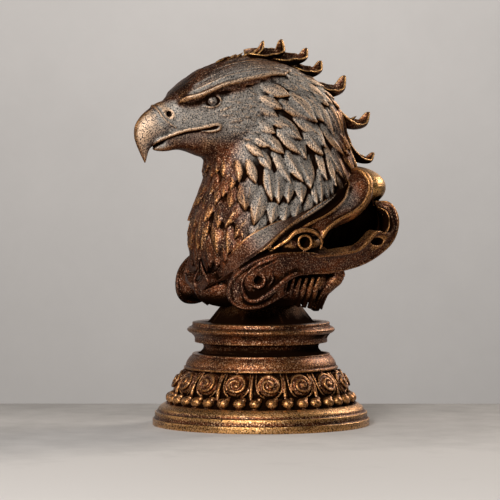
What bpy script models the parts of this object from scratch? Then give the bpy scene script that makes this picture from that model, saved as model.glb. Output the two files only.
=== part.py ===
"""A cast eagle bust with a swept crest and a scrolled shawl, standing on a turned plinth.

Metres, +Z up. The origin is the centre of the plinth's underside and the eagle faces -Y.
The free forms of the bust are written as shares of its height: one share is a hundredth of it,
x to the eagle's left, y towards its back, z up from the lowest lobe of the shawl.
"""

import math

import bmesh
import bpy
import numpy as np
from mathutils import Vector
from mathutils.bvhtree import BVHTree

# Plinth, from the foot upwards
FOOT_RADIUS = 0.0543
FOOT_RING_HEIGHT = 0.0015
FOOT_GROOVE_HEIGHT = 0.0004
FOOT_GROOVE_DEPTH = 0.0008
STEP_RADIUS = 0.0532
STEP_HEIGHT = 0.0030
OGEE_FOOT_RADIUS = 0.0518
OGEE_HEIGHT = 0.0041
OGEE_BULGE = 0.0010
BEAD_GROUND_RADIUS = 0.0455
BEAD_ROW_HEIGHT = 0.0051
BEAD_PROUD = 0.0028
BEAD_COUNT = 36
BEAD_TURN = math.radians(-4.0)
FRIEZE_FOOT_RADIUS = 0.0412
FRIEZE_TOP_RADIUS = 0.0365
FRIEZE_HEIGHT = 0.0122
FRIEZE_BULGE = 0.0012
ROSETTE_COUNT = 16
ROSETTE_PROUD = 0.0030
ROSETTE_PHASE = 0.14
RING_RADIUS = 0.0386
RING_HEIGHT = 0.0011
RING_GROOVE_RADIUS = 0.0375
RING_GROOVE_HEIGHT = 0.0009
TORUS_FOOT_RADIUS = 0.0377
TORUS_TOP_RADIUS = 0.0350
TORUS_HEIGHT = 0.0044
TORUS_BULGE = 0.0004
NECKING_RADIUS = 0.0344
NECKING_HEIGHT = 0.0012
WAIST_FOOT_RADIUS = 0.0312
WAIST_TOP_RADIUS = 0.0300
WAIST_HOLLOW = 0.0018
WAIST_HEIGHT = 0.0056
COLLAR_RADIUS = 0.0332
COLLAR_HEIGHT = 0.0024
CAP_FOOT_RADIUS = 0.0350
CAP_COVE_HEIGHT = 0.0022
CAP_BEAD_RADIUS = 0.0355
CAP_BEAD_BULGE = 0.0015
CAP_BEAD_HEIGHT = 0.0032
CAP_RIM_RADIUS = 0.0344
CAP_RIM_HEIGHT = 0.0022
CONE_FOOT_RADIUS = 0.0265
CONE_TOP_RADIUS = 0.0196
CONE_HEIGHT = 0.0087

# Bust
BUST_HEIGHT = 0.1360
SOCKET_DEPTH = 0.0024
SEAT_GAP = 0.0003

# Grain of the solids: cell of the fused skin and triangles left after thinning it
CELL = 0.0010
CORE_CELL = 0.0017
BUST_TRIANGLES = 4700
COLUMNS_PER_BEAD = 3
FINE_COLUMNS = BEAD_COUNT * COLUMNS_PER_BEAD
PLAIN_COLUMNS = BEAD_COUNT
FEATHER_SEED = 7

SHARE = BUST_HEIGHT / 100.0

# Head, from the beak's root to the nape: y, lowest z, highest z, half width
HEAD_STATIONS = (
    (-40.0, 60.0, 75.4, 5.0), (-37.2, 58.6, 78.2, 6.2), (-35.0, 58.4, 80.6, 7.0), (-31.0, 58.0, 83.7, 8.2),
    (-25.0, 55.8, 87.3, 10.0), (-16.0, 54.0, 90.5, 12.2), (-7.0, 54.0, 92.4, 13.8), (4.0, 54.0, 91.0, 14.8),
    (14.0, 55.0, 87.3, 14.6), (22.0, 57.0, 81.6, 13.0), (28.0, 60.0, 75.0, 9.5), (31.0, 65.0, 70.5, 4.0),
)

# Neck and breast, from above downwards: z, front y, back y, half width
TRUNK_STATIONS = (
    (80.0, -8.0, 20.0, 10.5), (75.0, -14.0, 25.5, 13.0), (70.0, -18.0, 29.0, 14.8),
    (62.0, -20.5, 32.6, 16.0), (55.0, -21.5, 35.4, 16.8), (48.0, -21.5, 37.0, 18.0),
    (42.0, -23.2, 37.5, 19.2), (36.0, -24.8, 36.5, 20.4), (28.0, -26.1, 33.0, 21.6),
    (22.0, -25.1, 29.0, 22.4), (16.0, -23.6, 25.5, 22.6), (11.0, -20.5, 20.0, 21.6),
    (6.0, -17.4, 15.4, 19.6), (2.6, -14.9, 14.2, 17.4), (1.9, -13.0, 12.0, 15.6),
)

# Rounded hump behind the neck, above the back panel
HUMP_CENTRE = (0.0, 37.2, 44.4)
HUMP_REACH = (19.0, 10.6, 7.9)

# Back panel behind the open scrolls, from above downwards
BACK_STATIONS = (
    (51.0, 16.0, 37.0, 10.0), (47.0, 16.0, 41.6, 12.4), (40.0, 16.0, 44.5, 14.0),
    (33.0, 16.0, 46.0, 15.5), (27.0, 16.0, 43.5, 15.0), (22.0, 15.0, 38.0, 14.0),
    (17.0, 12.0, 24.0, 12.0), (13.0, 10.0, 17.0, 10.0),
)

# Beak: ridge line above, edge line below and half width, from the root to the hook's tip
BEAK_RIDGE = (
    (-35.0, 80.2), (-38.2, 76.8), (-41.9, 75.2), (-44.2, 73.5), (-47.4, 71.0), (-49.9, 67.4), (-50.5, 63.8),
    (-49.7, 60.6), (-48.2, 57.2), (-46.5, 53.8),
)
BEAK_EDGE = (
    (-31.0, 63.6), (-35.0, 63.2), (-38.2, 62.4), (-40.8, 61.2), (-42.8, 60.0), (-44.3, 59.0), (-45.1, 57.6),
    (-45.6, 56.2), (-45.9, 55.0), (-46.2, 53.6),
)
BEAK_WIDTHS = (7.8, 6.6, 5.8, 5.3, 4.7, 3.9, 3.1, 2.3, 1.5, 0.6)
LIP_THICKNESS = (0.3, 0.7, 0.8, 0.8, 0.8, 0.6, 0.3)

# Lower beak: y, lowest z, highest z, half width
JAW_STATIONS = (
    (-44.2, 58.3, 59.0, 0.7), (-42.4, 57.6, 60.4, 2.1), (-38.0, 57.6, 61.6, 3.5), (-34.0, 58.4, 62.6, 4.6),
    (-29.0, 57.6, 63.4, 6.0), (-25.0, 57.4, 63.4, 6.2), (-21.0, 58.0, 62.6, 4.6),
)

MOUTH_LINE = (
    (1.2, -44.4, 59.4), (3.9, -41.6, 61.6), (5.7, -36.8, 63.5), (8.2, -31.8, 65.4), (10.4, -26.6, 66.6),
    (12.0, -22.4, 67.2), (12.2, -20.8, 66.4), (11.9, -21.6, 65.0), (10.8, -24.4, 63.9), (9.0, -28.7, 63.8),
)
BROW_UPPER = (
    (3.0, -36.0, 79.4), (4.4, -30.0, 83.6), (5.2, -22.0, 87.2), (6.0, -14.8, 89.6), (6.4, -7.0, 90.8),
    (6.8, 2.4, 90.0), (7.4, 8.0, 88.4),
)
BROW_RIDGE = (
    (7.6, -35.6, 76.4), (9.0, -33.4, 77.4), (10.4, -29.6, 78.2), (11.8, -25.8, 79.7), (13.0, -21.2, 81.8),
    (13.8, -15.3, 83.4), (14.4, -9.3, 84.7), (14.6, -1.8, 86.0), (14.2, 3.4, 86.0),
)
BROW_LOWER = (
    (6.4, -36.0, 74.6), (7.6, -33.6, 73.8), (9.0, -29.0, 74.7), (10.4, -25.5, 77.2), (11.6, -20.8, 79.1),
    (12.8, -14.9, 80.9), (13.8, -7.3, 82.9), (14.4, -1.7, 84.9), (14.2, 3.6, 85.4),
)
EYE_CENTRE = (10.2, -23.2, 75.4)
EYE_REACH = (1.6, 2.2, 1.9)
LID_RADIUS = 2.6
LID_THICKNESS = 0.6
NOSTRIL = (5.8, -38.9, 71.3)
NOSTRIL_REACH = (2.4, 1.7, 1.2)
NOSTRIL_DEPTH = 1.5

# Crest feathers on the middle line: root, two points of the sweep, tip, and half width of the scoop
CREST = (
    (((-4.0, 91.0), (-1.0, 92.8), (0.8, 95.4), (1.2, 98.6)), 2.4),
    (((-6.0, 89.8), (3.0, 91.0), (8.8, 94.0), (8.6, 99.8)), 6.0),
    (((3.0, 88.0), (12.0, 89.4), (17.8, 91.6), (18.9, 96.0)), 6.2),
    (((10.0, 85.4), (18.0, 84.8), (23.8, 87.0), (24.8, 91.4)), 6.2),
    (((18.0, 79.6), (26.4, 77.8), (33.0, 80.0), (34.7, 86.0)), 6.4),
    (((26.0, 72.0), (34.6, 66.4), (42.2, 67.0), (44.9, 72.4)), 6.0),
    (((30.5, 61.0), (37.0, 54.6), (44.2, 53.4), (46.9, 57.2)), 5.4),
)
CREST_LEAN = 17.0
SCOOP_DEPTH = 0.72
SCOOP_WALL = 1.3
SCOOP_TIP = 0.45

# Shawl: edges of its sweeping bands on the eagle's left, from the back of the neck forward
COLLAR_INNER = (
    (17.0, 23.5, 45.0), (19.0, 15.0, 39.0), (20.6, 6.0, 35.4), (21.6, -5.6, 31.4), (20.6, -14.0, 27.6),
    (18.0, -18.6, 22.6), (12.4, -20.8, 17.2), (6.0, -22.0, 12.8), (0.0, -22.0, 10.8),
)
COLLAR_OUTER = (
    (19.0, 24.3, 47.0), (21.4, 22.8, 43.2), (23.6, 17.8, 40.4), (26.0, 9.3, 36.2), (27.6, 0.0, 31.0),
    (28.0, -6.0, 26.8), (27.6, -10.4, 22.8), (25.6, -15.6, 18.8), (20.6, -19.2, 15.0), (12.6, -20.8, 11.8),
    (6.0, -21.0, 9.8), (0.0, -20.8, 8.8),
)
CHANNEL_OUTER = (
    (20.0, 25.0, 48.0), (22.0, 25.4, 45.2), (24.0, 23.2, 42.4), (26.0, 20.6, 39.4), (28.2, 13.7, 35.0),
    (29.6, 5.1, 31.4), (30.0, 0.0, 28.8), (29.6, -4.0, 25.8), (28.6, -9.6, 22.6),
)
SHAWL_OUTER = (
    (17.0, 28.5, 52.4), (22.0, 30.4, 51.4), (25.2, 32.2, 48.8), (27.2, 32.4, 45.2), (29.0, 30.1, 40.5),
    (30.0, 25.8, 36.6), (31.0, 17.4, 32.7), (31.4, 12.6, 29.6), (31.0, 10.6, 26.6),
)
SCROLL_LIP = (
    (29.6, -2.0, 20.4), (30.4, 6.0, 20.6), (31.0, 13.0, 21.0), (31.0, 21.8, 22.0), (30.0, 26.0, 23.5),
    (29.0, 29.4, 26.2), (28.0, 32.6, 28.8), (27.0, 35.4, 28.6), (25.6, 37.8, 28.0), (23.4, 40.4, 31.0),
    (21.0, 40.8, 35.2), (18.0, 38.6, 37.0),
)
SCROLL_OUTER = (
    (28.4, -1.0, 13.0), (27.8, 7.0, 13.6), (27.4, 15.0, 13.8), (27.0, 24.0, 15.4), (26.4, 31.0, 17.6),
    (25.4, 36.8, 20.6), (24.4, 41.2, 23.8), (23.2, 44.2, 27.8), (22.0, 45.6, 32.2), (20.6, 45.2, 36.0),
    (19.0, 42.8, 39.2), (16.0, 38.4, 39.4),
)
FLANK_UPPER = (
    (30.4, 14.0, 21.0), (30.6, 8.0, 20.8), (30.8, 1.3, 21.0), (30.8, -7.8, 20.7), (29.6, -12.4, 19.4),
    (27.8, -16.7, 17.4), (25.4, -20.4, 14.2), (23.6, -22.2, 11.2),
)
FLANK_LOWER = (
    (27.0, 20.0, 14.4), (27.6, 14.0, 14.2), (28.8, 7.0, 13.8), (29.6, 0.0, 12.6), (29.2, -6.0, 9.0),
    (28.0, -11.0, 5.4), (26.4, -15.6, 3.8), (25.0, -18.6, 4.6),
)
LOOP_OUTER = (
    (30.4, 8.0, 21.0), (31.0, 1.3, 21.3), (31.0, -7.8, 21.0), (30.0, -12.4, 19.7), (28.4, -16.7, 17.8),
    (26.0, -20.6, 14.6), (24.0, -22.8, 11.4), (23.2, -23.4, 7.7), (23.4, -22.5, 4.4), (24.5, -19.9, 2.2),
    (25.4, -16.1, 1.6), (26.4, -12.3, 2.2), (27.2, -8.2, 4.0), (27.8, -4.0, 6.4), (27.6, 0.4, 8.4),
)
FRONT_CHANNEL = (
    (28.6, -15.0, 16.0), (27.4, -18.2, 14.2), (26.8, -19.5, 12.0), (26.5, -19.6, 9.4), (26.8, -18.6, 6.4),
    (27.4, -17.0, 4.8), (28.2, -14.6, 4.8), (29.2, -11.6, 6.2), (29.8, -7.6, 9.2), (30.0, -4.4, 11.4),
)
LOOP_INNER = (
    (26.8, -19.6, 12.4), (26.5, -19.9, 10.4), (26.6, -19.3, 7.4), (27.2, -17.9, 4.8), (28.2, -15.5, 4.2),
    (29.2, -11.9, 5.9), (30.0, -7.3, 9.6), (30.6, -3.5, 12.6), (31.0, 0.0, 14.0), (30.6, 4.4, 13.8),
)
LOOP_EYE = (28.2, -14.3, 11.9)
LOOP_EYE_RADIUS = 2.5
LOOP_EYE_THICKNESS = 0.75
LOOP_EYE_HOLLOW = (5.0, 1.5, 1.6)
LOOP_BACKING = (21.6, -12.6, 10.6)
LOOP_BACKING_REACH = (5.0, 9.2, 8.4)
EYE_RING_CENTRE = (30.6, 3.1, 25.2)
EYE_RING_RADIUS = 2.6
EYE_RING_THICKNESS = 0.8
EYE_RING_HOLLOW = (5.0, 2.1, 2.1)
RING_HOLLOW_DEPTH = 3.4
EYE_RING_BACKING = (25.4, 2.0, 24.6)
EYE_RING_BACKING_REACH = (4.6, 9.6, 4.6)
LID_LINE = (
    (28.8, -8.4, 22.8), (30.2, -3.8, 26.0), (31.2, -1.0, 28.8), (31.4, 3.6, 29.6), (31.2, 7.6, 28.2),
    (31.0, 9.6, 25.6), (30.2, 9.4, 22.4),
)
LEAF_LINE = (
    (24.4, 18.6, 15.6), (23.8, 19.4, 12.4), (22.6, 17.4, 10.0), (20.8, 14.6, 6.6), (19.4, 13.4, 3.0),
    (18.0, 13.2, 0.2),
)
FLUTE_COUNT = 8
FLUTE_FIRST = (-8.6, 5.4)
FLUTE_LAST = (9.4, 1.0)
FLUTE_THICKNESS = (0.8, 1.5, 1.1)
FLUTE_BACKING = (20.5, 0.0, 8.6)
FLUTE_BACKING_REACH = (5.0, 13.0, 7.0)
BIB_CENTRE = (0.0, -14.0, 8.2)
BIB_REACH = (10.0, 12.4, 7.4)

# Heights across the shawl's bands, from their first edge to their second, how deep they are rooted
# and the side to which their faces look
COLLAR_RISE = (0.3, 0.7, 0.2, 0.6, 0.1, 0.5, 0.1, 0.9, 1.2)
CHANNEL_RISE = (1.1, -0.9, -1.6, -0.9, 1.1)
SHAWL_RISE = (0.9, 0.0, -0.3, -0.5, -0.3, 0.7, 1.0)
SCROLL_RISE = (0.9, -0.2, 0.0, 0.2, 0.6, 0.4)
FLANK_RISE = (0.3, 0.7, 0.8, 0.6, 0.2, 0.0, -0.2)
LOOP_RISE = (0.4, -0.1, -0.2, -0.1, 0.5)
BAND_ROOT = 5.0
BAND_FACING = (0.8, 0.0, 1.0)
SHAWL_ROOT = 3.4

# Flow of the feathers: they turn about the throat and fall straighter further down
FLOW_CENTRE = (-18.7, 50.0)
FACE_CENTRE = (-24.0, 69.0)
FACE_REACH = 12.5
GROWN_AWAY = 36.0

# Length, half width and lift of the feathers beside the face, of the grown ones and of the throat's
SMALL_FEATHER = (7.5, 1.8, 1.7)
GROWN_FEATHER = (16.5, 3.2, 2.8)
THROAT_FEATHER = (12.0, 2.0, 2.0)


def to_metres(points):
    """Shares of the bust's height to metres in the part's frame."""
    scaled = np.asarray(points, float) * SHARE
    scaled[:, 2] += bust_foot()
    return scaled


def curve_through(points, count):
    """Points evenly spaced along a smooth curve through the given ones."""
    knots = np.asarray(points, float)
    padded = np.vstack([2 * knots[0] - knots[1], knots, 2 * knots[-1] - knots[-2]])
    dense = []
    for i in range(len(knots) - 1):
        a, b, c, d = padded[i : i + 4]
        for t in np.linspace(0.0, 1.0, 12, endpoint=False):
            bend = (2 * a - 5 * b + 4 * c - d) * t**2 + (3 * b - a - 3 * c + d) * t**3
            dense.append(0.5 * (2 * b + (c - a) * t + bend))
    dense.append(knots[-1])
    dense = np.array(dense)
    steps = np.linalg.norm(np.diff(dense, axis=0), axis=1)
    length = np.concatenate([[0.0], np.cumsum(steps)])
    wanted = np.linspace(0.0, length[-1], count)
    return np.stack([np.interp(wanted, length, dense[:, k]) for k in range(dense.shape[1])], axis=1)


def unit(vectors):
    """Vectors scaled to length one."""
    vectors = np.asarray(vectors, float)
    return vectors / np.maximum(np.linalg.norm(vectors, axis=-1, keepdims=True), 1e-9)


class Shells:
    """Closed shells gathered in shares of the bust's height, to be fused into one skin."""

    def __init__(self):
        self.points = []
        self.faces = []
        self.total = 0

    def add(self, points, faces, both_sides=False):
        points = np.asarray(points, float)
        self.points.append(points)
        self.faces.extend([tuple(int(i) + self.total for i in face) for face in faces])
        self.total += len(points)
        if both_sides:
            self.add(points * (-1.0, 1.0, 1.0), [tuple(reversed(face)) for face in faces])

    def loft(self, rings, both_sides=False):
        """A shell over a row of closed rings, with its two ends capped."""
        rings = np.asarray(rings, float)
        rows, sides = rings.shape[:2]
        faces = []
        for r in range(rows - 1):
            for s in range(sides):
                t = (s + 1) % sides
                faces.append((r * sides + s, r * sides + t, (r + 1) * sides + t, (r + 1) * sides + s))
        faces.append(tuple(reversed(range(sides))))
        faces.append(tuple((rows - 1) * sides + s for s in range(sides)))
        self.add(rings.reshape(-1, 3), faces, both_sides)

    def tube(self, line, radii, sides=8, both_sides=False, squash=1.0):
        """A round rod along a line, as thick at each point as radii says."""
        line = np.asarray(line, float)
        radii = np.interp(np.linspace(0, 1, len(line)), np.linspace(0, 1, len(radii)), radii)
        along = unit(np.gradient(line, axis=0))
        side = unit(np.cross(along, (0.31, 0.17, 0.93)))
        rise = np.cross(side, along)
        turn = np.linspace(0.0, 2 * math.pi, sides, endpoint=False)
        rings = (
            line[:, None]
            + side[:, None] * (np.cos(turn)[None, :, None] * radii[:, None, None])
            + rise[:, None] * (np.sin(turn)[None, :, None] * radii[:, None, None] * squash)
        )
        self.loft(rings, both_sides)

    def band(self, edge_a, edge_b, heights, depth, count=24, both_sides=True):
        """A strip between two edge lines, its face raised by heights and its back sunk by depth."""
        a = curve_through(edge_a, count)
        b = curve_through(edge_b, count)
        across = b - a
        along = np.gradient((a + b) / 2, axis=0)
        normal = unit(np.cross(along, across))
        normal *= np.where(normal @ BAND_FACING < 0, -1.0, 1.0)[:, None]
        share = np.linspace(0.0, 1.0, len(heights))
        face = a[:, None] + across[:, None] * share[None, :, None]
        raised = face + normal[:, None] * np.asarray(heights)[None, :, None]
        sunk = face[:, ::-1] - normal[:, None] * depth
        self.loft(np.concatenate([raised, sunk], axis=1), both_sides)

    def blob(self, centre, radii, both_sides=False, rows=10, sides=16):
        """An ellipsoid."""
        lift = np.linspace(-math.pi / 2 + 0.12, math.pi / 2 - 0.12, rows)
        turn = np.linspace(0.0, 2 * math.pi, sides, endpoint=False)
        rings = np.stack(
            [
                np.cos(lift)[:, None] * np.cos(turn)[None],
                np.cos(lift)[:, None] * np.sin(turn)[None],
                np.repeat(np.sin(lift)[:, None], sides, axis=1),
            ],
            axis=-1,
        )
        self.loft(rings * np.asarray(radii) + np.asarray(centre), both_sides)

    def ring(self, centre, axis, radius, thickness, both_sides=True, sides=8, steps=24):
        """A closed round ring about an axis."""
        axis = unit(axis)
        side = unit(np.cross(axis, (0.0, 0.0, 1.0)))
        rise = np.cross(side, axis)
        points = []
        for turn in np.linspace(0.0, 2 * math.pi, steps, endpoint=False):
            out = side * math.cos(turn) + rise * math.sin(turn)
            for roll in np.linspace(0.0, 2 * math.pi, sides, endpoint=False):
                reach = out * (radius + thickness * math.cos(roll))
                points.append(np.asarray(centre) + reach + axis * thickness * math.sin(roll))
        faces = []
        for i in range(steps):
            j = (i + 1) % steps
            for k in range(sides):
                m = (k + 1) % sides
                faces.append((i * sides + k, i * sides + m, j * sides + m, j * sides + k))
        self.add(points, faces, both_sides)

    def mesh(self, name):
        """The gathered shells as a mesh in metres."""
        mesh = bpy.data.meshes.new(name)
        mesh.from_pydata(to_metres(np.vstack(self.points)).tolist(), [], self.faces)
        return mesh


def section(turn, half_width, half_height, power=2.3):
    """Points of a rounded section, a little squarer than an ellipse."""
    c, s = np.cos(turn), np.sin(turn)
    x = half_width * np.sign(c) * np.abs(c) ** (2 / power)
    h = half_height * np.sign(s) * np.abs(s) ** (2 / power)
    return x, h


def upright_rings(stations, count, sides=24):
    """Rings across Y for stations of y, lowest z, highest z and half width."""
    turn = np.linspace(0.0, 2 * math.pi, sides, endpoint=False)
    rings = []
    for y, low, high, half in curve_through(stations, count):
        x, h = section(turn, half, (high - low) / 2)
        rings.append(np.stack([x, np.full(sides, y), (high + low) / 2 + h], axis=1))
    return rings


def level_rings(stations, count, sides=28):
    """Rings across Z for stations of z, front y, back y and half width."""
    turn = np.linspace(0.0, 2 * math.pi, sides, endpoint=False)
    rings = []
    for z, front, back, half in curve_through(stations, count):
        x, h = section(turn, half, (back - front) / 2, 2.15)
        rings.append(np.stack([x, (front + back) / 2 + h, np.full(sides, z)], axis=1))
    return rings


def add_core(shells):
    """Head with its brow and lower beak, neck, breast and back panel without any carving."""
    shells.loft(upright_rings(HEAD_STATIONS, 26))
    shells.loft(level_rings(TRUNK_STATIONS, 30))
    shells.loft(level_rings(BACK_STATIONS, 14))
    shells.loft(upright_rings(JAW_STATIONS, 12, 16))
    shells.blob(HUMP_CENTRE, HUMP_REACH)


def brow_rings(count=24):
    """Sections of the brow, which swells out of the crown and overhangs the eye."""
    crown, ridge, lower = (curve_through(line, count) for line in (BROW_UPPER, BROW_RIDGE, BROW_LOWER))
    rings = []
    for k, (a, r, b) in enumerate(zip(crown, ridge, lower)):
        t = k / (count - 1)
        proud = (1.0 - np.clip((t - 0.72) / 0.28, 0.0, 1.0) ** 1.5) * np.clip(t / 0.1, 0.0, 1.0) ** 0.5
        out = np.array((0.92, -0.25, 0.12)) * proud
        slope = [a + (r - a) * s + out * 0.9 * math.sin(math.pi * s) for s in np.linspace(0.0, 0.86, 5)]
        lip = [r + out * 0.9, r + out * 0.75 - (0.0, 0.0, 0.9)]
        under = [r + (b - r) * 0.6 + out * 0.15, b - (0.3, 0.0, 0.0)]
        inner = [b - (5.0, 0.0, -0.6), (a + b) / 2 - (5.0, 0.0, 0.0), a - (2.5, 0.0, 3.0)]
        rings.append(np.array(slope + lip + under + inner))
    return rings


def add_beak(shells):
    """Hooked upper beak and the lip that turns back along the mouth."""
    sides = 16
    turn = np.linspace(0.0, 2 * math.pi, sides, endpoint=False)
    ridge = curve_through(BEAK_RIDGE, 20)
    edge = curve_through(BEAK_EDGE, 20)
    widths = curve_through([(w,) for w in BEAK_WIDTHS], 20)[:, 0]
    rings = []
    for (ry, rz), (ey, ez), width in zip(ridge, edge, widths):
        across, rise = section(turn, width, 0.5, 2.2)
        swell = across * (1.0 - 0.35 * (rise + 0.1))
        rings.append(
            np.stack([swell, (ry + ey) / 2 + (ry - ey) * rise, (rz + ez) / 2 + (rz - ez) * rise], axis=1)
        )
    shells.loft(rings)
    shells.tube(curve_through(MOUTH_LINE, 22), LIP_THICKNESS, 7, True)


def add_brow_and_eye(shells):
    """Crisp edge of the brow, eyeball and lids."""
    shells.loft(brow_rings(), True)
    shells.blob(EYE_CENTRE, EYE_REACH, True, 8, 12)
    lid_centre = np.add(EYE_CENTRE, (0.5, 0.0, 0.0))
    shells.ring(lid_centre, (1.0, -0.28, 0.0), LID_RADIUS, LID_THICKNESS, True, 6, 16)


def add_crest(shells):
    """Deep scoops that sweep back from the middle line, curl up and open a little to the left."""
    spread = np.linspace(-1.0, 1.0, 13)
    lean = math.radians(CREST_LEAN)
    for sweep, half_width in CREST:
        line = curve_through(sweep, 18)
        along = unit(np.gradient(line, axis=0))
        rings = []
        for k, (y, z) in enumerate(line):
            slim = (1.0 - k / (len(line) - 1)) ** 0.5
            half = half_width * slim + SCOOP_TIP
            deep = half_width * SCOOP_DEPTH * slim + SCOOP_TIP
            floor = max(0.5 * deep, SCOOP_WALL)
            outer = deep * np.abs(spread) ** 2.3
            inner = floor + max(deep - floor, 0.0) * np.abs(spread) ** 1.8
            across = np.concatenate([spread * half, spread[::-1] * max(half - SCOOP_WALL * slim, 0.3)])
            rise = np.concatenate([outer, inner[::-1]])
            leaned = rise * math.cos(lean) - across * math.sin(lean)
            aside = across * math.cos(lean) + rise * math.sin(lean)
            rings.append(np.stack([aside, y - along[k, 1] * leaned, z + along[k, 0] * leaned], axis=1))
        shells.loft(rings)


def add_shawl(shells):
    """Striped collar, channel, broad shawl band and the hollow scroll behind it."""
    shells.band(COLLAR_INNER, COLLAR_OUTER, COLLAR_RISE, BAND_ROOT, 36)
    shells.band(COLLAR_OUTER[:8], CHANNEL_OUTER, CHANNEL_RISE, BAND_ROOT, 28)
    shells.band(CHANNEL_OUTER[:7], SHAWL_OUTER, SHAWL_RISE, SHAWL_ROOT, 28)
    shells.band(SCROLL_LIP, SCROLL_OUTER, SCROLL_RISE, SHAWL_ROOT, 32)
    add_scroll_wall(shells)


def add_scroll_wall(shells):
    """The curled wall that closes the scroll's hollow below and behind."""
    path = curve_through(SCROLL_OUTER, 30)
    along = unit(np.gradient(path[:, 1:], axis=0))
    rings = []
    for k, (x, y, z) in enumerate(path):
        thick = 1.6 + 1.6 * math.sin(math.pi * k / (len(path) - 1))
        inner_y = y - along[k, 1] * thick
        inner_z = z + along[k, 0] * thick
        near, deep = x - 0.8, 9.0
        rings.append(((near, y, z), (near, inner_y, inner_z), (deep, inner_y, inner_z), (deep, y, z)))
    shells.loft(rings, True)


def add_lower_scrolls(shells):
    """Flank, front loops, eye rings, hanging leaf, flutes and the bib between the loops."""
    shells.blob(LOOP_BACKING, LOOP_BACKING_REACH, True)
    shells.blob(EYE_RING_BACKING, EYE_RING_BACKING_REACH, True)
    shells.band(FLANK_UPPER, FLANK_LOWER, FLANK_RISE, BAND_ROOT, 30)
    shells.band(LOOP_OUTER[4:14], FRONT_CHANNEL, LOOP_RISE, BAND_ROOT, 30)
    shells.tube(curve_through(LOOP_OUTER, 40), (0.6, 0.8, 0.9, 1.0, 1.0, 1.0, 0.6), 8, True)
    shells.tube(curve_through(LOOP_INNER, 30), (0.6, 1.1, 1.2, 1.2, 1.1, 0.8), 8, True)
    shells.ring(LOOP_EYE, (1.0, -0.45, 0.0), LOOP_EYE_RADIUS, LOOP_EYE_THICKNESS, True, 6, 16)
    shells.tube(curve_through(LID_LINE, 20), (0.4, 1.0, 1.2, 1.2, 0.9, 0.5), 8, True)
    shells.ring(EYE_RING_CENTRE, (1.0, -0.1, 0.1), EYE_RING_RADIUS, EYE_RING_THICKNESS)
    shells.tube(curve_through(LEAF_LINE, 12), (2.0, 2.8, 2.6, 2.1, 1.7), 8, True)
    for t in np.linspace(0.0, 1.0, FLUTE_COUNT):
        y, low = np.array(FLUTE_FIRST) * (1.0 - t) + np.array(FLUTE_LAST) * t
        flute = ((26.8, y + 1.4, 12.4), (25.4, y + 0.6, 8.6), (22.4 - 0.1 * y, y, low))
        shells.tube(curve_through(flute, 8), FLUTE_THICKNESS, 7, True)
    shells.blob(FLUTE_BACKING, FLUTE_BACKING_REACH, True)
    shells.blob(BIB_CENTRE, BIB_REACH)


def flow_at(point, normal):
    """Direction in which the feathers lie at a point of the core."""
    _, y, z = point
    ry, rz = y - FLOW_CENTRE[0], z - FLOW_CENTRE[1]
    around = unit((rz, -ry))
    fall = np.clip((62.0 - z) / 34.0, 0.0, 1.0)
    dy, dz = around * (1.0 - fall) + np.array((-0.15, -1.0)) * fall
    if y < FLOW_CENTRE[0] + 6.0 and z < 60.0:
        dy, dz = -0.05, -1.0
    lie = np.array((0.0, dy, dz))
    return unit(lie - normal * lie.dot(normal))


def feather_size(point):
    """Length, half width and lift of the feather that grows at a point, or None on the bare face."""
    _, y, z = point
    from_face = math.hypot(y - FACE_CENTRE[0], z - FACE_CENTRE[1])
    if z > 83.0 or from_face < FACE_REACH or z < 24.0:
        return None
    if y < FACE_CENTRE[0] + 9.0 and z > 50.0:
        return None
    if y < -16.0:
        return THROAT_FEATHER
    growth = np.clip((from_face - FACE_REACH) / (GROWN_AWAY - FACE_REACH), 0.0, 1.0)
    return np.array(SMALL_FEATHER) * (1.0 - growth) + np.array(GROWN_FEATHER) * growth


def feather_shell(tree, root, lie, normal, length, half_width, lift, rows, columns):
    """A leaf-shaped feather that follows the core, rising to its pointed tip."""
    across = np.cross(normal, lie)
    lines = []
    for u in np.linspace(0.0, 1.0, rows):
        if u < 0.5:
            half = half_width * (0.35 + 0.65 * math.sin(math.pi * u))
        else:
            half = half_width * (1.0 - ((u - 0.5) / 0.5) ** 1.7) + 0.05
        top, under = [], []
        for v in np.linspace(-1.0, 1.0, columns):
            spot = root + lie * (u * length) + across * (v * half)
            near, facing, _, _ = tree.find_nearest(Vector(spot))
            near, facing = np.array(near), np.array(facing)
            crown = (0.1 + 0.9 * u**0.8) * (1.0 - 0.30 * v * v)
            rise = lift * (crown + 0.35 * math.exp(-((v / 0.22) ** 2)))
            top.append(near + facing * rise)
            under.append(near - facing * 1.4)
        lines.append(np.array(top + under[::-1]))
    return lines


def add_feathers(shells, core, rows, columns):
    """Overlapping feathers over the neck and breast, thrown like darts and kept where there is room."""
    tree = BVHTree.FromPolygons([Vector(p) for p in core[0]], core[1])
    points, faces = np.asarray(core[0]), core[1]
    centres = np.array([points[list(face)].mean(axis=0) for face in faces])
    dice = np.random.default_rng(FEATHER_SEED)
    kept = []
    for index in dice.permutation(len(centres)):
        spot = centres[index]
        if spot[0] < -0.6:
            continue
        size = feather_size(spot)
        if size is None:
            continue
        _, normal, _, _ = tree.find_nearest(Vector(spot))
        normal = np.array(normal)
        lie = flow_at(spot, normal)
        across = np.cross(normal, lie)
        length, half_width, lift = size
        crowded = False
        for other in kept:
            gap = spot - other[0]
            ahead, beside = gap.dot(lie) / (0.5 * length), gap.dot(across) / (1.6 * half_width)
            if ahead * ahead + beside * beside < 1.0 and abs(gap.dot(normal)) < 6.0:
                crowded = True
                break
        if not crowded:
            kept.append((spot, lie, normal, length, half_width, lift))
    for spot, lie, normal, length, half_width, lift in kept:
        lines = feather_shell(tree, spot, lie, normal, length, half_width, lift, rows, columns)
        shells.loft(lines, spot[0] > 0.6)


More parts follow.
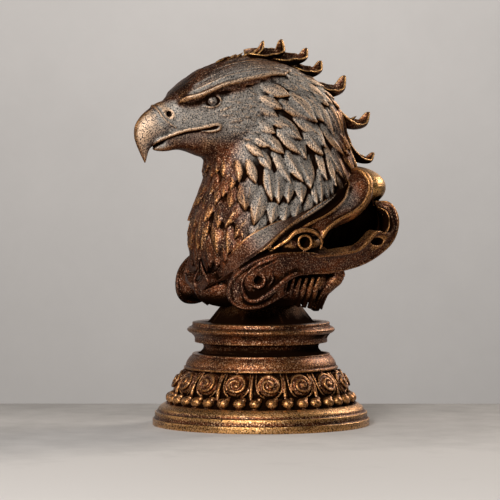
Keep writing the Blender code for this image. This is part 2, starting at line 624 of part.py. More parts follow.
def fused(mesh, cell):
    """One skin round overlapping shells, its largest closed piece alone."""
    work = bpy.data.objects.new("work", mesh)
    bpy.context.scene.collection.objects.link(work)
    remesh = work.modifiers.new("skin", "REMESH")
    remesh.mode = "VOXEL"
    remesh.voxel_size = cell
    remesh.use_smooth_shade = True
    skin = bpy.data.meshes.new_from_object(work.evaluated_get(bpy.context.evaluated_depsgraph_get()))
    bpy.data.objects.remove(work)
    keep_largest(skin)
    return skin


def keep_largest(mesh):
    """Drop every closed piece of a mesh but the one with the most points."""
    work = bmesh.new()
    work.from_mesh(mesh)
    seen, pieces = set(), []
    for start in work.verts:
        if start.index in seen:
            continue
        piece, stack = [], [start]
        seen.add(start.index)
        while stack:
            vert = stack.pop()
            piece.append(vert)
            for edge in vert.link_edges:
                other = edge.other_vert(vert)
                if other.index not in seen:
                    seen.add(other.index)
                    stack.append(other)
        pieces.append(piece)
    pieces.sort(key=len)
    loose = [vert for piece in pieces[:-1] for vert in piece]
    bmesh.ops.delete(work, geom=loose, context="VERTS")
    work.to_mesh(mesh)
    work.free()


def relaxed(mesh, rounds):
    """Points in shares and faces of a mesh, its points eased towards their neighbours."""
    points = np.array([v.co for v in mesh.vertices])
    edges = np.array([e.vertices for e in mesh.edges])
    count = np.bincount(edges.ravel(), minlength=len(points))[:, None]
    for _ in range(rounds):
        total = np.zeros_like(points)
        np.add.at(total, edges[:, 0], points[edges[:, 1]])
        np.add.at(total, edges[:, 1], points[edges[:, 0]])
        points = points * 0.4 + total / count * 0.6
    points[:, 2] -= bust_foot()
    return points / SHARE, [tuple(p.vertices) for p in mesh.polygons]


def dent(mesh, centre, reach, depth):
    """Press a soft-edged hollow into the skin on both sides."""
    centre = np.array(centre)
    for vert in mesh.vertices:
        place = (np.array(vert.co) - (0.0, 0.0, bust_foot())) / SHARE
        place[0] = abs(place[0])
        away = np.linalg.norm((place - centre) / reach)
        if away < 1.0:
            push = depth * SHARE * min(1.0, 2.2 * (1.0 - away))
            vert.co.x -= math.copysign(push, vert.co.x)


def plinth_profile():
    """Radius, height and columns of the turned outline, from the underside's edge to the cone's top."""
    outline = []

    def course(height, low, high, bulge=0.0, steps=1, columns=PLAIN_COLUMNS):
        base = outline[-1][1] if outline else 0.0
        for k in range(steps + 1):
            t = k / steps
            point = (low + (high - low) * t + bulge * math.sin(math.pi * t), base + height * t, columns)
            if not outline or max(abs(point[0] - outline[-1][0]), abs(point[1] - outline[-1][1])) > 1e-6:
                outline.append(point)

    course(FOOT_RING_HEIGHT, FOOT_RADIUS, FOOT_RADIUS)
    course(FOOT_GROOVE_HEIGHT, FOOT_RADIUS - FOOT_GROOVE_DEPTH, FOOT_RADIUS - FOOT_GROOVE_DEPTH)
    course(FOOT_RING_HEIGHT, FOOT_RADIUS, FOOT_RADIUS)
    course(FOOT_GROOVE_HEIGHT, STEP_RADIUS - FOOT_GROOVE_DEPTH, STEP_RADIUS - FOOT_GROOVE_DEPTH)
    course(STEP_HEIGHT, STEP_RADIUS, STEP_RADIUS)
    course(OGEE_HEIGHT, OGEE_FOOT_RADIUS, BEAD_GROUND_RADIUS + BEAD_PROUD, OGEE_BULGE, 3)
    course(BEAD_ROW_HEIGHT, BEAD_GROUND_RADIUS, BEAD_GROUND_RADIUS, 0.0, 4, FINE_COLUMNS)
    course(FRIEZE_HEIGHT, FRIEZE_FOOT_RADIUS, FRIEZE_TOP_RADIUS, FRIEZE_BULGE, 5, FINE_COLUMNS)
    course(RING_HEIGHT, RING_RADIUS, RING_RADIUS)
    course(RING_GROOVE_HEIGHT, RING_GROOVE_RADIUS, RING_GROOVE_RADIUS)
    course(TORUS_HEIGHT, TORUS_FOOT_RADIUS, TORUS_TOP_RADIUS, TORUS_BULGE, 2)
    course(NECKING_HEIGHT, NECKING_RADIUS, NECKING_RADIUS)
    course(WAIST_HEIGHT, WAIST_FOOT_RADIUS, WAIST_TOP_RADIUS, -WAIST_HOLLOW, 3)
    course(COLLAR_HEIGHT, COLLAR_RADIUS, COLLAR_RADIUS)
    course(CAP_COVE_HEIGHT, COLLAR_RADIUS, CAP_FOOT_RADIUS)
    course(CAP_BEAD_HEIGHT, CAP_BEAD_RADIUS, CAP_BEAD_RADIUS, CAP_BEAD_BULGE, 3)
    course(CAP_RIM_HEIGHT, CAP_RIM_RADIUS, CAP_RIM_RADIUS)
    course(CONE_HEIGHT, CONE_FOOT_RADIUS, CONE_TOP_RADIUS)
    return outline


def bead_row_foot():
    """Height at which the row of beads starts."""
    rings = 2 * (FOOT_RING_HEIGHT + FOOT_GROOVE_HEIGHT)
    return rings + STEP_HEIGHT + OGEE_HEIGHT


def frieze_foot():
    """Height at which the frieze of rosettes starts."""
    return bead_row_foot() + BEAD_ROW_HEIGHT


def plinth_top():
    """Height of the cone's top."""
    return plinth_profile()[-1][1]


def bust_foot():
    """Height of the bust's lowest lobe, which hangs round the cone's top."""
    return plinth_top() + SEAT_GAP - SOCKET_DEPTH


def relief(turn, height):
    """How far the beads and rosettes stand proud of the ground, by the angle from the first bead."""
    bead_pitch = 2 * math.pi / BEAD_COUNT
    rise = (height - bead_row_foot()) / BEAD_ROW_HEIGHT
    if 0.0 < rise < 1.0:
        aside = ((turn / bead_pitch) % 1.0 - 0.5) * 2.0
        room = 1.0 - aside**2 - (2.0 * rise - 1.0) ** 2
        return BEAD_PROUD * math.sqrt(max(room, 0.0))
    rise = (height - frieze_foot()) / FRIEZE_HEIGHT
    if 0.0 < rise < 1.0:
        rose_pitch = 2 * math.pi / ROSETTE_COUNT
        aside = (((turn + BEAD_TURN) / rose_pitch + 0.5 - ROSETTE_PHASE) % 1.0 - 0.5) * 2.0
        up = (rise - 0.54) * 2.0
        away = math.hypot(aside * (1.15 if up > 0 else 1.15 - 0.35 * up), up * (1.0 if up > 0 else 0.85))
        dome = math.sqrt(max(1.0 - away**2, 0.0))
        pit = 0.35 * math.exp(-((away - 0.42) / 0.14) ** 2)
        return ROSETTE_PROUD * max(dome - pit, 0.0)
    return 0.0


def make_plinth():
    """The turned plinth with its bead row, frieze and cone, as one closed body."""
    points, faces, rings = [], [], []
    for radius, height, columns in plinth_profile():
        ring = []
        for column in range(columns):
            turn = 2 * math.pi * column / columns
            reach = radius + relief(turn, height)
            ring.append(len(points))
            points.append((reach * math.cos(turn + BEAD_TURN), reach * math.sin(turn + BEAD_TURN), height))
        rings.append(ring)
    for low, high in zip(rings, rings[1:]):
        spans = min(len(low), len(high))
        per_low, per_high = len(low) // spans, len(high) // spans
        for span in range(spans):
            below = [low[(span * per_low + k) % len(low)] for k in range(per_low + 1)]
            above = [high[(span * per_high + k) % len(high)] for k in range(per_high + 1)]
            faces.append(tuple(below + above[::-1]))
    faces.append(tuple(reversed(rings[0])))
    faces.append(tuple(rings[-1]))
    mesh = bpy.data.meshes.new("plinth")
    mesh.from_pydata(points, [], faces)
    plinth = bpy.data.objects.new("plinth", mesh)
    bpy.context.scene.collection.objects.link(plinth)
    return plinth


def make_socket_cutter():
    """The cone of the plinth, grown by the seat gap, which hollows the bust's underside."""
    low = plinth_top() - CONE_HEIGHT
    bpy.ops.mesh.primitive_cone_add(
        vertices=48,
        radius1=CONE_FOOT_RADIUS + SEAT_GAP,
        radius2=CONE_TOP_RADIUS + SEAT_GAP,
        depth=CONE_HEIGHT + SEAT_GAP,
        location=(0.0, 0.0, low + (CONE_HEIGHT + SEAT_GAP) / 2),
    )
    cutter = bpy.context.object
    cutter.name = "socket_cutter"
    cutter.hide_render = True
    cutter.display_type = "WIRE"
    return cutter


def make_bust():
    """The eagle with its crest and shawl, as one closed body."""
    core = Shells()
    add_core(core)
    core_mesh = fused(core.mesh("core"), CORE_CELL)
    core_shape = relaxed(core_mesh, 6)
    shells = Shells()
    shells.add(core_shape[0], core_shape[1])
    add_beak(shells)
    add_brow_and_eye(shells)
    add_crest(shells)
    add_shawl(shells)
    add_lower_scrolls(shells)
    add_feathers(shells, core_shape, 6, 5)
    skin = fused(shells.mesh("bust"), CELL)
    dent(skin, NOSTRIL, NOSTRIL_REACH, NOSTRIL_DEPTH)
    dent(skin, EYE_RING_CENTRE, EYE_RING_HOLLOW, RING_HOLLOW_DEPTH)
    dent(skin, LOOP_EYE, LOOP_EYE_HOLLOW, RING_HOLLOW_DEPTH)
    bust = bpy.data.objects.new("eagle_bust", skin)
    bpy.context.scene.collection.objects.link(bust)
    thin = bust.modifiers.new("thin", "DECIMATE")
    thin.ratio = BUST_TRIANGLES / sum(len(p.vertices) - 2 for p in skin.polygons)
    cut = bust.modifiers.new("socket", "BOOLEAN")
    cut.operation = "DIFFERENCE"
    cut.solver = "EXACT"
    cut.object = make_socket_cutter()
    return bust


def bronze(name, colour, roughness):
    """A bronze finish as plain values."""
    material = bpy.data.materials.new(name)
    material.use_nodes = True
    shader = material.node_tree.nodes["Principled BSDF"]
    shader.inputs["Base Color"].default_value = (*colour, 1.0)
    shader.inputs["Roughness"].default_value = roughness
    shader.inputs["Metallic"].default_value = 0.8
    return material


def main():
    for leftover in list(bpy.data.objects):
        bpy.data.objects.remove(leftover)
    bust = make_bust()
    bust.data.materials.clear()
    bust.data.materials.append(bronze("antique_bronze", (0.17, 0.10, 0.06), 0.45))
    plinth = make_plinth()
    plinth.data.materials.append(bronze("gilt_bronze", (0.26, 0.13, 0.06), 0.42))


main()
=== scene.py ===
"""The finish of the eagle bust: every feather, band and scroll as one cast skin, and the turned plinth."""

import math

import bmesh
import bpy
import numpy as np
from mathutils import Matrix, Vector
from mathutils.bvhtree import BVHTree
from mathutils.kdtree import KDTree


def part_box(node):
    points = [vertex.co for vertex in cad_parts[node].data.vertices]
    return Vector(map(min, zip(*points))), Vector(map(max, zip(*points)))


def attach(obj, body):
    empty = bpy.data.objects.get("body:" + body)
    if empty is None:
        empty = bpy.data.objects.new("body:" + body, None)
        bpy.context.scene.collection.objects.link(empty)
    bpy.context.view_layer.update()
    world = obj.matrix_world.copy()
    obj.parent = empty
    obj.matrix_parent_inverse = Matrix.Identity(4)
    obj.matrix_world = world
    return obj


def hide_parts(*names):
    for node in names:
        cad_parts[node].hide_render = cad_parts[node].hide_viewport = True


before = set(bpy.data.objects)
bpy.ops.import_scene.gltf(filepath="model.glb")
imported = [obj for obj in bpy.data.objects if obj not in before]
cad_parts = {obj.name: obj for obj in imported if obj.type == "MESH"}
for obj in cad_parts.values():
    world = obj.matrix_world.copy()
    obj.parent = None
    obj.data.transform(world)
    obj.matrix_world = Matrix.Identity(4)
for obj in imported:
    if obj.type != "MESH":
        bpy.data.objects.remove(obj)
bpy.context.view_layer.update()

# The frame's own sizes, in metres
PLINTH_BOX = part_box("plinth")
BUST_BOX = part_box("eagle_bust")
PLINTH_TOP = PLINTH_BOX[1][2]
BUST_HEIGHT = 0.1360
SHARE = BUST_HEIGHT / 100.0
SEAT_GAP = 0.0003
SOCKET_DEPTH = 0.0024
BUST_FOOT = PLINTH_TOP + SEAT_GAP - SOCKET_DEPTH
MM = 0.001

# Grain of the cast skins
HEAD_CELL = 0.00044
SHAWL_CELL = 0.00042
CREST_CELL = 0.00036
CORE_CELL = 0.0014
PLINTH_CELL = 0.00036
COLLAR_LINES = 9.0
FINE_BEND = 0.00009
BROAD_BEND = 0.00030
MOST_TRIANGLES = 190000

# How far shade is looked for on the bust and the plinth, with how many rays, and how far off they start
BUST_SHADE_REACH = 0.008
PLINTH_SHADE_REACH = 0.016
SHADE_RAYS = 16
SHADE_SEED = 5
RAY_START = 0.0002
FEATHER_SEED = 11

# Head, from the beak's root to the nape: y, lowest z, highest z, half width, in shares of the bust's height
HEAD_STATIONS = (
    (-40.0, 60.0, 75.4, 5.0), (-37.2, 58.6, 78.2, 6.2), (-35.0, 58.4, 80.6, 7.0), (-31.0, 58.0, 83.7, 8.2),
    (-25.0, 55.8, 87.3, 10.0), (-16.0, 54.0, 90.5, 12.2), (-7.0, 54.0, 92.4, 13.8), (4.0, 54.0, 91.0, 14.8),
    (14.0, 55.0, 87.3, 14.6), (22.0, 57.0, 81.6, 13.0), (28.0, 60.0, 75.0, 9.5), (31.0, 65.0, 70.5, 4.0),
)

# Neck and breast, from above downwards: z, front y, back y, half width
TRUNK_STATIONS = (
    (80.0, -8.0, 20.0, 10.5), (75.0, -14.0, 25.5, 13.0), (70.0, -18.0, 29.0, 14.8),
    (62.0, -20.5, 32.6, 16.0), (55.0, -21.5, 35.4, 16.8), (48.0, -21.5, 37.0, 18.0),
    (42.0, -23.2, 37.5, 19.2), (36.0, -24.8, 36.5, 20.4), (28.0, -26.1, 33.0, 21.6),
    (22.0, -25.1, 29.0, 22.4), (16.0, -23.6, 25.5, 22.6), (11.0, -20.5, 20.0, 21.6),
    (6.0, -17.4, 15.4, 19.6), (2.6, -14.9, 14.2, 17.4), (1.9, -13.0, 12.0, 15.6),
)

# Back panel behind the open scrolls, from above downwards
BACK_STATIONS = (
    (51.0, 16.0, 37.0, 10.0), (47.0, 16.0, 41.6, 12.4), (40.0, 16.0, 44.5, 14.0),
    (33.0, 16.0, 46.0, 15.5), (27.0, 16.0, 43.5, 15.0), (22.0, 15.0, 38.0, 14.0),
    (17.0, 12.0, 24.0, 12.0), (13.0, 10.0, 17.0, 10.0),
)

# Beak: ridge line above, edge line below and half width, from the root to the hook's tip
BEAK_RIDGE = (
    (-35.0, 80.2), (-38.2, 76.8), (-41.9, 75.2), (-44.2, 73.5), (-47.4, 71.0), (-49.9, 67.4), (-50.4, 63.8),
    (-49.6, 60.6), (-48.1, 57.2), (-46.4, 53.8),
)
BEAK_EDGE = (
    (-31.0, 63.6), (-35.0, 63.2), (-38.2, 62.4), (-40.8, 61.2), (-42.8, 60.0), (-44.3, 59.0), (-45.1, 57.6),
    (-45.5, 56.2), (-45.8, 55.0), (-46.1, 53.6),
)
BEAK_WIDTHS = (7.8, 6.6, 5.8, 5.3, 4.7, 3.9, 3.1, 2.3, 1.5, 0.6)
JAW_STATIONS = (
    (-44.2, 58.3, 59.0, 0.7), (-42.4, 57.6, 60.4, 2.1), (-38.0, 57.6, 61.6, 3.5), (-34.0, 58.4, 62.6, 4.6),
    (-29.0, 57.6, 63.4, 6.0), (-25.0, 57.4, 63.4, 6.2), (-21.0, 58.0, 62.6, 4.6),
)

MOUTH_FRONT = ((1.2, -44.8, 59.6), (3.2, -42.6, 61.6), (4.6, -39.4, 63.2))
MOUTH_SIDE = (
    (-36.0, 64.6), (-32.5, 65.6), (-29.2, 66.1), (-25.8, 66.9), (-22.6, 67.6), (-21.2, 67.0), (-21.8, 65.8),
    (-24.3, 65.1), (-28.0, 65.0),
)
LIP_THICKNESS = (0.35, 0.75, 0.85, 0.75, 0.7, 0.75, 0.8, 0.7, 0.5, 0.2)
BROW_UPPER = (
    (3.0, -36.0, 79.4), (4.4, -30.0, 83.6), (5.2, -22.0, 87.2), (6.0, -14.8, 89.6), (6.4, -7.0, 90.8),
    (6.8, 2.4, 90.0), (7.4, 8.0, 88.4),
)
BROW_RIDGE = (
    (7.6, -35.6, 76.4), (9.0, -33.4, 77.4), (10.4, -29.6, 78.2), (11.8, -25.8, 79.7), (13.0, -21.2, 81.8),
    (13.8, -15.3, 83.4), (14.4, -9.3, 84.7), (14.6, -1.8, 86.0), (14.2, 3.4, 86.0),
)
BROW_LOWER = (
    (6.4, -36.0, 74.6), (7.6, -33.6, 73.8), (9.0, -29.0, 74.7), (10.4, -25.5, 77.2), (11.6, -20.8, 79.1),
    (12.8, -14.9, 80.9), (13.8, -7.3, 82.9), (14.4, -1.7, 84.9), (14.2, 3.6, 85.4),
)
BROW_STRANDS = 8
UPPER_LID = ((-27.4, 75.6), (-25.8, 77.6), (-23.8, 78.3), (-21.9, 77.4), (-21.0, 76.0))
LOWER_LID = ((-28.0, 74.4), (-26.0, 73.8), (-23.6, 73.9), (-21.8, 74.8), (-21.0, 76.0))
EYE_CENTRE = (9.7, -24.0, 76.0)
EYE_RADIUS = 1.9
NOSTRIL = (5.6, -39.0, 71.3)
CERE_LINE = ((0.0, -43.4, 74.5), (3.6, -42.6, 72.6), (5.2, -40.8, 69.4), (6.6, -36.6, 66.2))

# Crest feathers on the middle line: root, two points of the sweep, tip, and half width of the scoop
CREST = (
    (((-4.0, 91.0), (-1.0, 92.8), (0.8, 95.4), (1.2, 98.4)), 2.4),
    (((-6.0, 89.8), (3.0, 91.0), (8.8, 94.0), (8.6, 99.2)), 6.0),
    (((3.0, 88.0), (12.0, 89.4), (17.8, 91.6), (18.9, 96.0)), 6.2),
    (((10.0, 85.4), (18.0, 84.8), (23.8, 87.0), (24.8, 91.4)), 6.2),
    (((18.0, 79.6), (26.4, 77.8), (33.0, 80.0), (34.7, 86.0)), 6.4),
    (((26.0, 72.0), (34.6, 66.4), (42.2, 67.0), (44.9, 72.4)), 6.0),
    (((30.5, 61.0), (37.0, 54.6), (44.2, 53.4), (46.9, 57.2)), 5.4),
)
CREST_LEAN = 17.0
CREST_TUFTS = (
    (-14.0, 91.6, 1.2), (-11.0, 92.2, 1.6), (-8.4, 92.6, 1.8), (-5.6, 92.8, 2.2), (-3.0, 93.0, 2.4),
    (22.0, 87.0, 1.6), (38.5, 70.0, 1.4),
)

# Shawl: edges of its sweeping bands on the eagle's left, from the back of the neck forward
COLLAR_INNER = (
    (17.0, 23.5, 45.0), (19.0, 15.0, 39.0), (20.6, 6.0, 35.4), (21.6, -5.6, 31.4), (20.6, -14.0, 27.6),
    (18.0, -18.6, 22.6), (12.4, -20.8, 17.2), (6.0, -22.0, 12.8), (0.0, -22.0, 10.8),
)
COLLAR_OUTER = (
    (19.0, 24.3, 47.0), (21.4, 22.8, 43.2), (23.6, 17.8, 40.4), (26.0, 9.3, 36.2), (27.6, 0.0, 31.0),
    (28.0, -6.0, 26.8), (27.6, -10.4, 22.8), (25.6, -15.6, 18.8), (20.6, -19.2, 15.0), (12.6, -20.8, 11.8),
    (6.0, -21.0, 9.8), (0.0, -20.8, 8.8),
)
CHANNEL_OUTER = (
    (20.0, 25.0, 48.0), (22.0, 25.4, 45.2), (24.0, 23.2, 42.4), (26.0, 20.6, 39.4), (28.2, 13.7, 35.0),
    (29.6, 5.1, 31.4), (30.0, 0.0, 28.8), (29.6, -4.0, 25.8), (28.6, -9.6, 22.6),
)
SHAWL_OUTER = (
    (17.0, 28.5, 52.4), (22.0, 30.4, 51.4), (25.2, 32.2, 48.8), (27.2, 32.4, 45.2), (29.0, 30.1, 40.5),
    (30.0, 25.8, 36.6), (31.0, 17.4, 32.7), (31.4, 12.6, 29.6), (31.0, 10.6, 26.6),
)
SCROLL_LIP = (
    (29.6, -2.0, 20.4), (30.4, 6.0, 20.6), (31.0, 13.0, 21.0), (31.0, 21.8, 22.0), (30.0, 26.0, 23.5),
    (29.0, 29.4, 26.2), (28.0, 32.6, 28.8), (27.0, 35.4, 28.6), (25.6, 37.8, 28.0), (23.4, 40.4, 31.0),
    (21.0, 40.8, 35.2), (18.0, 38.6, 37.0),
)
SCROLL_OUTER = (
    (28.4, -1.0, 13.0), (27.8, 7.0, 13.6), (27.4, 15.0, 13.8), (27.0, 24.0, 15.4), (26.4, 31.0, 17.6),
    (25.4, 36.8, 20.6), (24.4, 41.2, 23.8), (23.2, 44.2, 27.8), (22.0, 45.6, 32.2), (20.6, 45.2, 36.0),
    (19.0, 42.8, 39.2), (16.0, 38.4, 39.4),
)
FLANK_UPPER = (
    (30.4, 14.0, 21.0), (30.6, 8.0, 20.8), (30.8, 1.3, 21.0), (30.8, -7.8, 20.7), (29.6, -12.4, 19.4),
    (27.8, -16.7, 17.4), (25.4, -20.4, 14.2), (23.6, -22.2, 11.2),
)
FLANK_LOWER = (
    (27.0, 20.0, 14.4), (27.6, 14.0, 14.2), (28.8, 7.0, 13.8), (29.6, 0.0, 12.6), (29.2, -6.0, 9.0),
    (28.0, -11.0, 5.4), (26.4, -15.6, 3.8), (25.0, -18.6, 4.6),
)
LOOP_OUTER = (
    (30.4, 8.0, 21.0), (31.0, 1.3, 21.3), (31.0, -7.8, 21.0), (30.0, -12.4, 19.7), (28.4, -16.7, 17.8),
    (26.0, -20.6, 14.6), (24.0, -22.8, 11.4), (23.2, -23.4, 7.7), (23.4, -22.5, 4.4), (24.5, -19.9, 2.2),
    (25.4, -16.1, 1.6), (26.4, -12.3, 2.2), (27.2, -8.2, 4.0), (27.8, -4.0, 6.4), (27.6, 0.4, 8.4),
)
FRONT_CHANNEL = (
    (28.6, -15.0, 16.0), (27.4, -18.2, 14.2), (26.8, -19.5, 12.0), (26.5, -19.6, 9.4), (26.8, -18.6, 6.4),
    (27.4, -17.0, 4.8), (28.2, -14.6, 4.8), (29.2, -11.6, 6.2), (29.8, -7.6, 9.2), (30.0, -4.4, 11.4),
)
RIDGE_MIDDLE = (
    (30.6, 8.0, 20.0), (31.3, 1.3, 20.2), (31.3, -7.6, 19.9), (30.4, -12.0, 18.5), (29.0, -15.6, 16.7),
    (27.6, -18.0, 14.4), (26.4, -19.6, 11.6),
)
RIDGE_LOWER = (
    (30.6, 6.0, 19.0), (31.4, 1.0, 19.2), (31.4, -6.6, 18.8), (30.8, -10.8, 17.4), (29.8, -13.6, 15.9),
    (29.0, -15.0, 15.0),
)
LOOP_INNER = (
    (26.8, -19.6, 12.4), (26.5, -19.9, 10.4), (26.6, -19.3, 7.4), (27.2, -17.9, 4.8), (28.2, -15.5, 4.2),
    (29.2, -11.9, 5.9), (30.0, -7.3, 9.6), (30.6, -3.5, 12.6), (31.0, 0.0, 14.0), (30.6, 4.4, 13.8),
)
LOOP_EYE = (28.2, -14.3, 11.9)
LOOP_EYE_ARC = ((29.6, -11.6, 15.4), (29.9, -9.8, 14.0), (29.9, -9.4, 11.8), (29.5, -11.0, 9.6))
RING_CENTRE = (30.6, 3.1, 25.2)

# The side to which the faces of the bands look
BAND_FACING = (0.8, 0.0, 1.0)

# Thin ridges where the collar meets in front, and inside the scroll's back wall
COLLAR_RIDGE_UPPER = (
    (0.4, -24.9, 22.4), (1.2, -24.6, 17.2), (2.6, -23.7, 13.2), (5.4, -22.4, 10.6), (9.0, -20.9, 9.6),
)
COLLAR_RIDGE_LOWER = ((0.0, -24.2, 17.2), (1.0, -23.6, 13.2), (2.8, -22.6, 10.2), (6.0, -21.2, 8.2))
SCROLL_RIDGES = (
    ((20.8, 35.4, 22.0), (20.0, 39.4, 25.6), (19.0, 41.4, 30.2), (17.6, 40.8, 35.4)),
    ((20.4, 33.4, 23.0), (19.6, 37.2, 26.8), (18.4, 39.2, 31.0), (17.0, 39.2, 35.6)),
)
SCROLL_CURL = (26.8, 34.2, 25.0)
LID_LINE = (
    (28.8, -8.4, 22.8), (30.2, -3.8, 26.0), (31.2, -1.0, 28.8), (31.4, 3.6, 29.6), (31.2, 7.6, 28.2),
    (31.0, 9.6, 25.6), (30.2, 9.4, 22.4),
)
LEAF_LINE = (
    (24.4, 18.6, 15.6), (23.8, 19.4, 12.4), (22.6, 17.4, 10.0), (20.8, 14.6, 6.6), (19.4, 13.4, 3.0),
    (18.0, 13.2, 0.2),
)
LEAF_RIBS = (-1.3, 0.0, 1.3)
FLUTES = ((-8.6, 5.4), (-6.0, 4.6), (-3.4, 3.8), (-0.8, 3.0), (1.8, 2.4), (4.4, 1.8), (7.0, 1.4), (9.4, 1.0))
BIB_EDGE = ((0.0, -24.9, 14.8), (0.0, -26.5, 11.6), (0.0, -26.3, 7.6), (0.0, -24.5, 4.2), (0.0, -21.3, 1.6))
BIB_CENTRE = (0.0, -14.0, 8.2)
BIB_RADII = (10.0, 12.4, 7.4)

# Flow of the feathers: they turn about the throat and fall straighter further down
FLOW_CENTRE = (-18.7, 50.0)
FACE_CENTRE = (-24.0, 69.0)
FACE_RADIUS = 13.5

# Turned outline of the plinth, from the foot up: height, lower and upper radius, bulge, in millimetres
COURSES = (
    (1.5, 54.3, 54.3, 0.0), (0.4, 53.5, 53.5, 0.0), (1.5, 54.3, 54.3, 0.0), (0.4, 52.4, 52.4, 0.0),
    (3.0, 53.2, 53.2, 0.0), (4.1, 51.8, 48.3, 1.0), (5.1, 45.5, 42.4, 0.0), (12.2, 41.6, 36.5, 1.2),
    (1.1, 38.6, 38.6, 0.0), (0.9, 37.5, 37.5, 0.0), (4.4, 37.7, 35.0, 0.4), (1.2, 34.4, 34.4, 0.0),
    (5.6, 31.2, 30.0, -1.8), (2.4, 33.2, 33.2, 0.0), (2.2, 33.2, 35.0, 0.0), (3.2, 35.5, 35.5, 1.5),
    (2.2, 34.4, 34.4, 0.0), (8.7, 26.5, 19.6, 0.0),
)
BEAD_COURSE = 6
FRIEZE_COURSE = 7
WAIST_COURSE = 12
TORUS_FOOT = 28.0
BEAD_COUNT = 36
BEAD_PHASE = 0.10
ROSETTE_COUNT = 16
ROSETTE_PHASE = 0.14
PLINTH_SIDES = 256

# Beads, and the knob on each: sizes, how far proud, sunk, risen and turned on, and how unevenly set
BEAD_RADII = (3.25, 3.25, 2.75)
BEAD_PROUD = 0.9
BEAD_UNEVEN = 0.06
BEAD_WAVER = 0.1
BEAD_SEED = 3
KNOB_RADII = (1.5, 1.5, 1.4)
KNOB_SUNK = 0.4
KNOB_RISE = 1.9
KNOB_TURN = 0.045

# Rosette: its heart above the frieze's foot, radii of the bud and the spiral's turns, start and reach
HEART_RISE = 6.2
BUD_RADII = (5.7, 5.8, 2.9)
SPIRAL_TURNS = 1.85
SPIRAL_START = 215.0
SPIRAL_REACH = 5.2
FRIEZE_BEND = 42.0

# Where the painted grey sheen comes in or ends, and over what width: throat, neck, nape, breast and side
SHEEN_THROAT = (58.0, 5.0)
SHEEN_NECK = (-17.0, 8.0)
SHEEN_NAPE = (19.0, 9.0)
SHEEN_FOOT = (17.5, 6.0)
SHEEN_SIDE = (29.0, 3.0)
SIDE_START = 8.0
BROW_SHADOW_REACH = 1.25

# Where the brown forehead ends, height and y, and the middle of the painted shadow under the brow's edge, y
# and z
FOREHEAD_BORDER = ((77.0, 82.0, 86.5, 92.0), (-33.0, -29.0, -22.0, -12.0))
BROW_SHADOW_LINE = (
    (-35.0, 75.0), (-31.0, 74.9), (-27.5, 75.9), (-25.0, 78.3), (-22.5, 78.9), (-17.0, 80.0), (-10.0, 82.2),
)

# What differs between the two finishes: brown in the fields, where painted shade starts to darken, how much
# the edges are rubbed and from where, how strongly that shows, and where and how strongly specks carry
# painted glints
BUST_LOOK = {
    "fields": 0.34, "shade": 0.31, "wear": 1.4, "keep": 0.45, "rub": 0.9, "speck": 0.585, "painted_glint": 0.6,
}
PLINTH_LOOK = {
    "fields": 0.55, "shade": 0.45, "wear": 1.1, "keep": 0.28, "rub": 0.8, "speck": 0.572, "painted_glint": 0.8,
}

# Linear colours of the bronze, with the grey of its painted sheen, the pale of its painted highlights and
# the gold of its rubbed and lit edges
DARK = (0.0060, 0.0022, 0.0009)
BROWN = (0.038, 0.0080, 0.0020)
RUSSET = (0.190, 0.048, 0.0095)
COPPER = (0.50, 0.190, 0.048)
RUBBED_AND_LIT_GOLD = (0.84, 0.45, 0.145)
SHEEN_GREY = (0.230, 0.205, 0.180)
HIGHLIGHT_PALE = (0.55, 0.46, 0.36)

# Floor and wall, in metres from the middle of the plinth, with their linear colours
FLOOR_BEHIND = 0.118
FLOOR_AHEAD = 2.2
STAGE_HALF_WIDTH = 3.0
WALL_BEHIND = 2.1
WALL_HEIGHTS = (-0.9, 2.2)
FLOOR_COLOUR = (0.585, 0.557, 0.538)
WALL_COLOUR = (0.420, 0.401, 0.387)

# Camera: where the photograph was taken from, in metres and degrees
CAMERA_AZIMUTH = 65.0
CAMERA_DISTANCE = 1.5
CAMERA_HEIGHT = 0.140
CAMERA_LENS = 216.0
SENSOR_WIDTH = 36.0
FARTHEST_SEEN = 20.0
AIM_HEIGHT = 0.08725
AIM_ASIDE = 0.0055

# Lights: place and aim, each out to the camera, right in its picture and up, then size, energy and colour
BUST_AIM = (0.0, 0.0, 0.10)
WALL_AIM = (-WALL_BEHIND, 0.0, 0.15)
LIGHTS = (
    ("front_softbox", (1.2, -0.38, 0.62), BUST_AIM, 0.36, 18.0, (1.0, 0.985, 0.96)),
    ("left_softbox", (-0.2, -1.1, 0.5), BUST_AIM, 0.4, 1.8, (1.0, 0.94, 0.87)),
    ("back_softbox", (-0.6, 0.75, 0.65), BUST_AIM, 0.32, 6.0, (1.0, 0.90, 0.78)),
    ("top_softbox", (0.55, 0.0, 1.7), BUST_AIM, 1.0, 4.5, (1.0, 0.98, 0.96)),
    ("wall_wash", (1.1 - WALL_BEHIND, 0.0, 0.8), WALL_AIM, 0.8, 21.0, (1.0, 0.98, 0.96)),
)
SURROUND_COLOUR = (0.50, 0.475, 0.45, 1.0)
SURROUND_STRENGTH = 0.16


def bust_place(points):
    """Shares of the bust's height to metres."""
    placed = np.asarray(points, float) * SHARE
    placed[:, 2] += BUST_FOOT
    return placed


def plinth_place(points):
    """Millimetres to metres."""
    return np.asarray(points, float) * MM


def curve_through(points, count):
    """Points evenly spaced along a smooth curve through the given ones."""
    knots = np.asarray(points, float)
    padded = np.vstack([2 * knots[0] - knots[1], knots, 2 * knots[-1] - knots[-2]])
    dense = []
    for i in range(len(knots) - 1):
        a, b, c, d = padded[i : i + 4]
        for t in np.linspace(0.0, 1.0, 16, endpoint=False):
            bend = (2 * a - 5 * b + 4 * c - d) * t**2 + (3 * b - a - 3 * c + d) * t**3
            dense.append(0.5 * (2 * b + (c - a) * t + bend))
    dense.append(knots[-1])
    dense = np.array(dense)
    steps = np.linalg.norm(np.diff(dense, axis=0), axis=1)
    length = np.concatenate([[0.0], np.cumsum(steps)])
    wanted = np.linspace(0.0, length[-1], count)
    return np.stack([np.interp(wanted, length, dense[:, k]) for k in range(dense.shape[1])], axis=1)


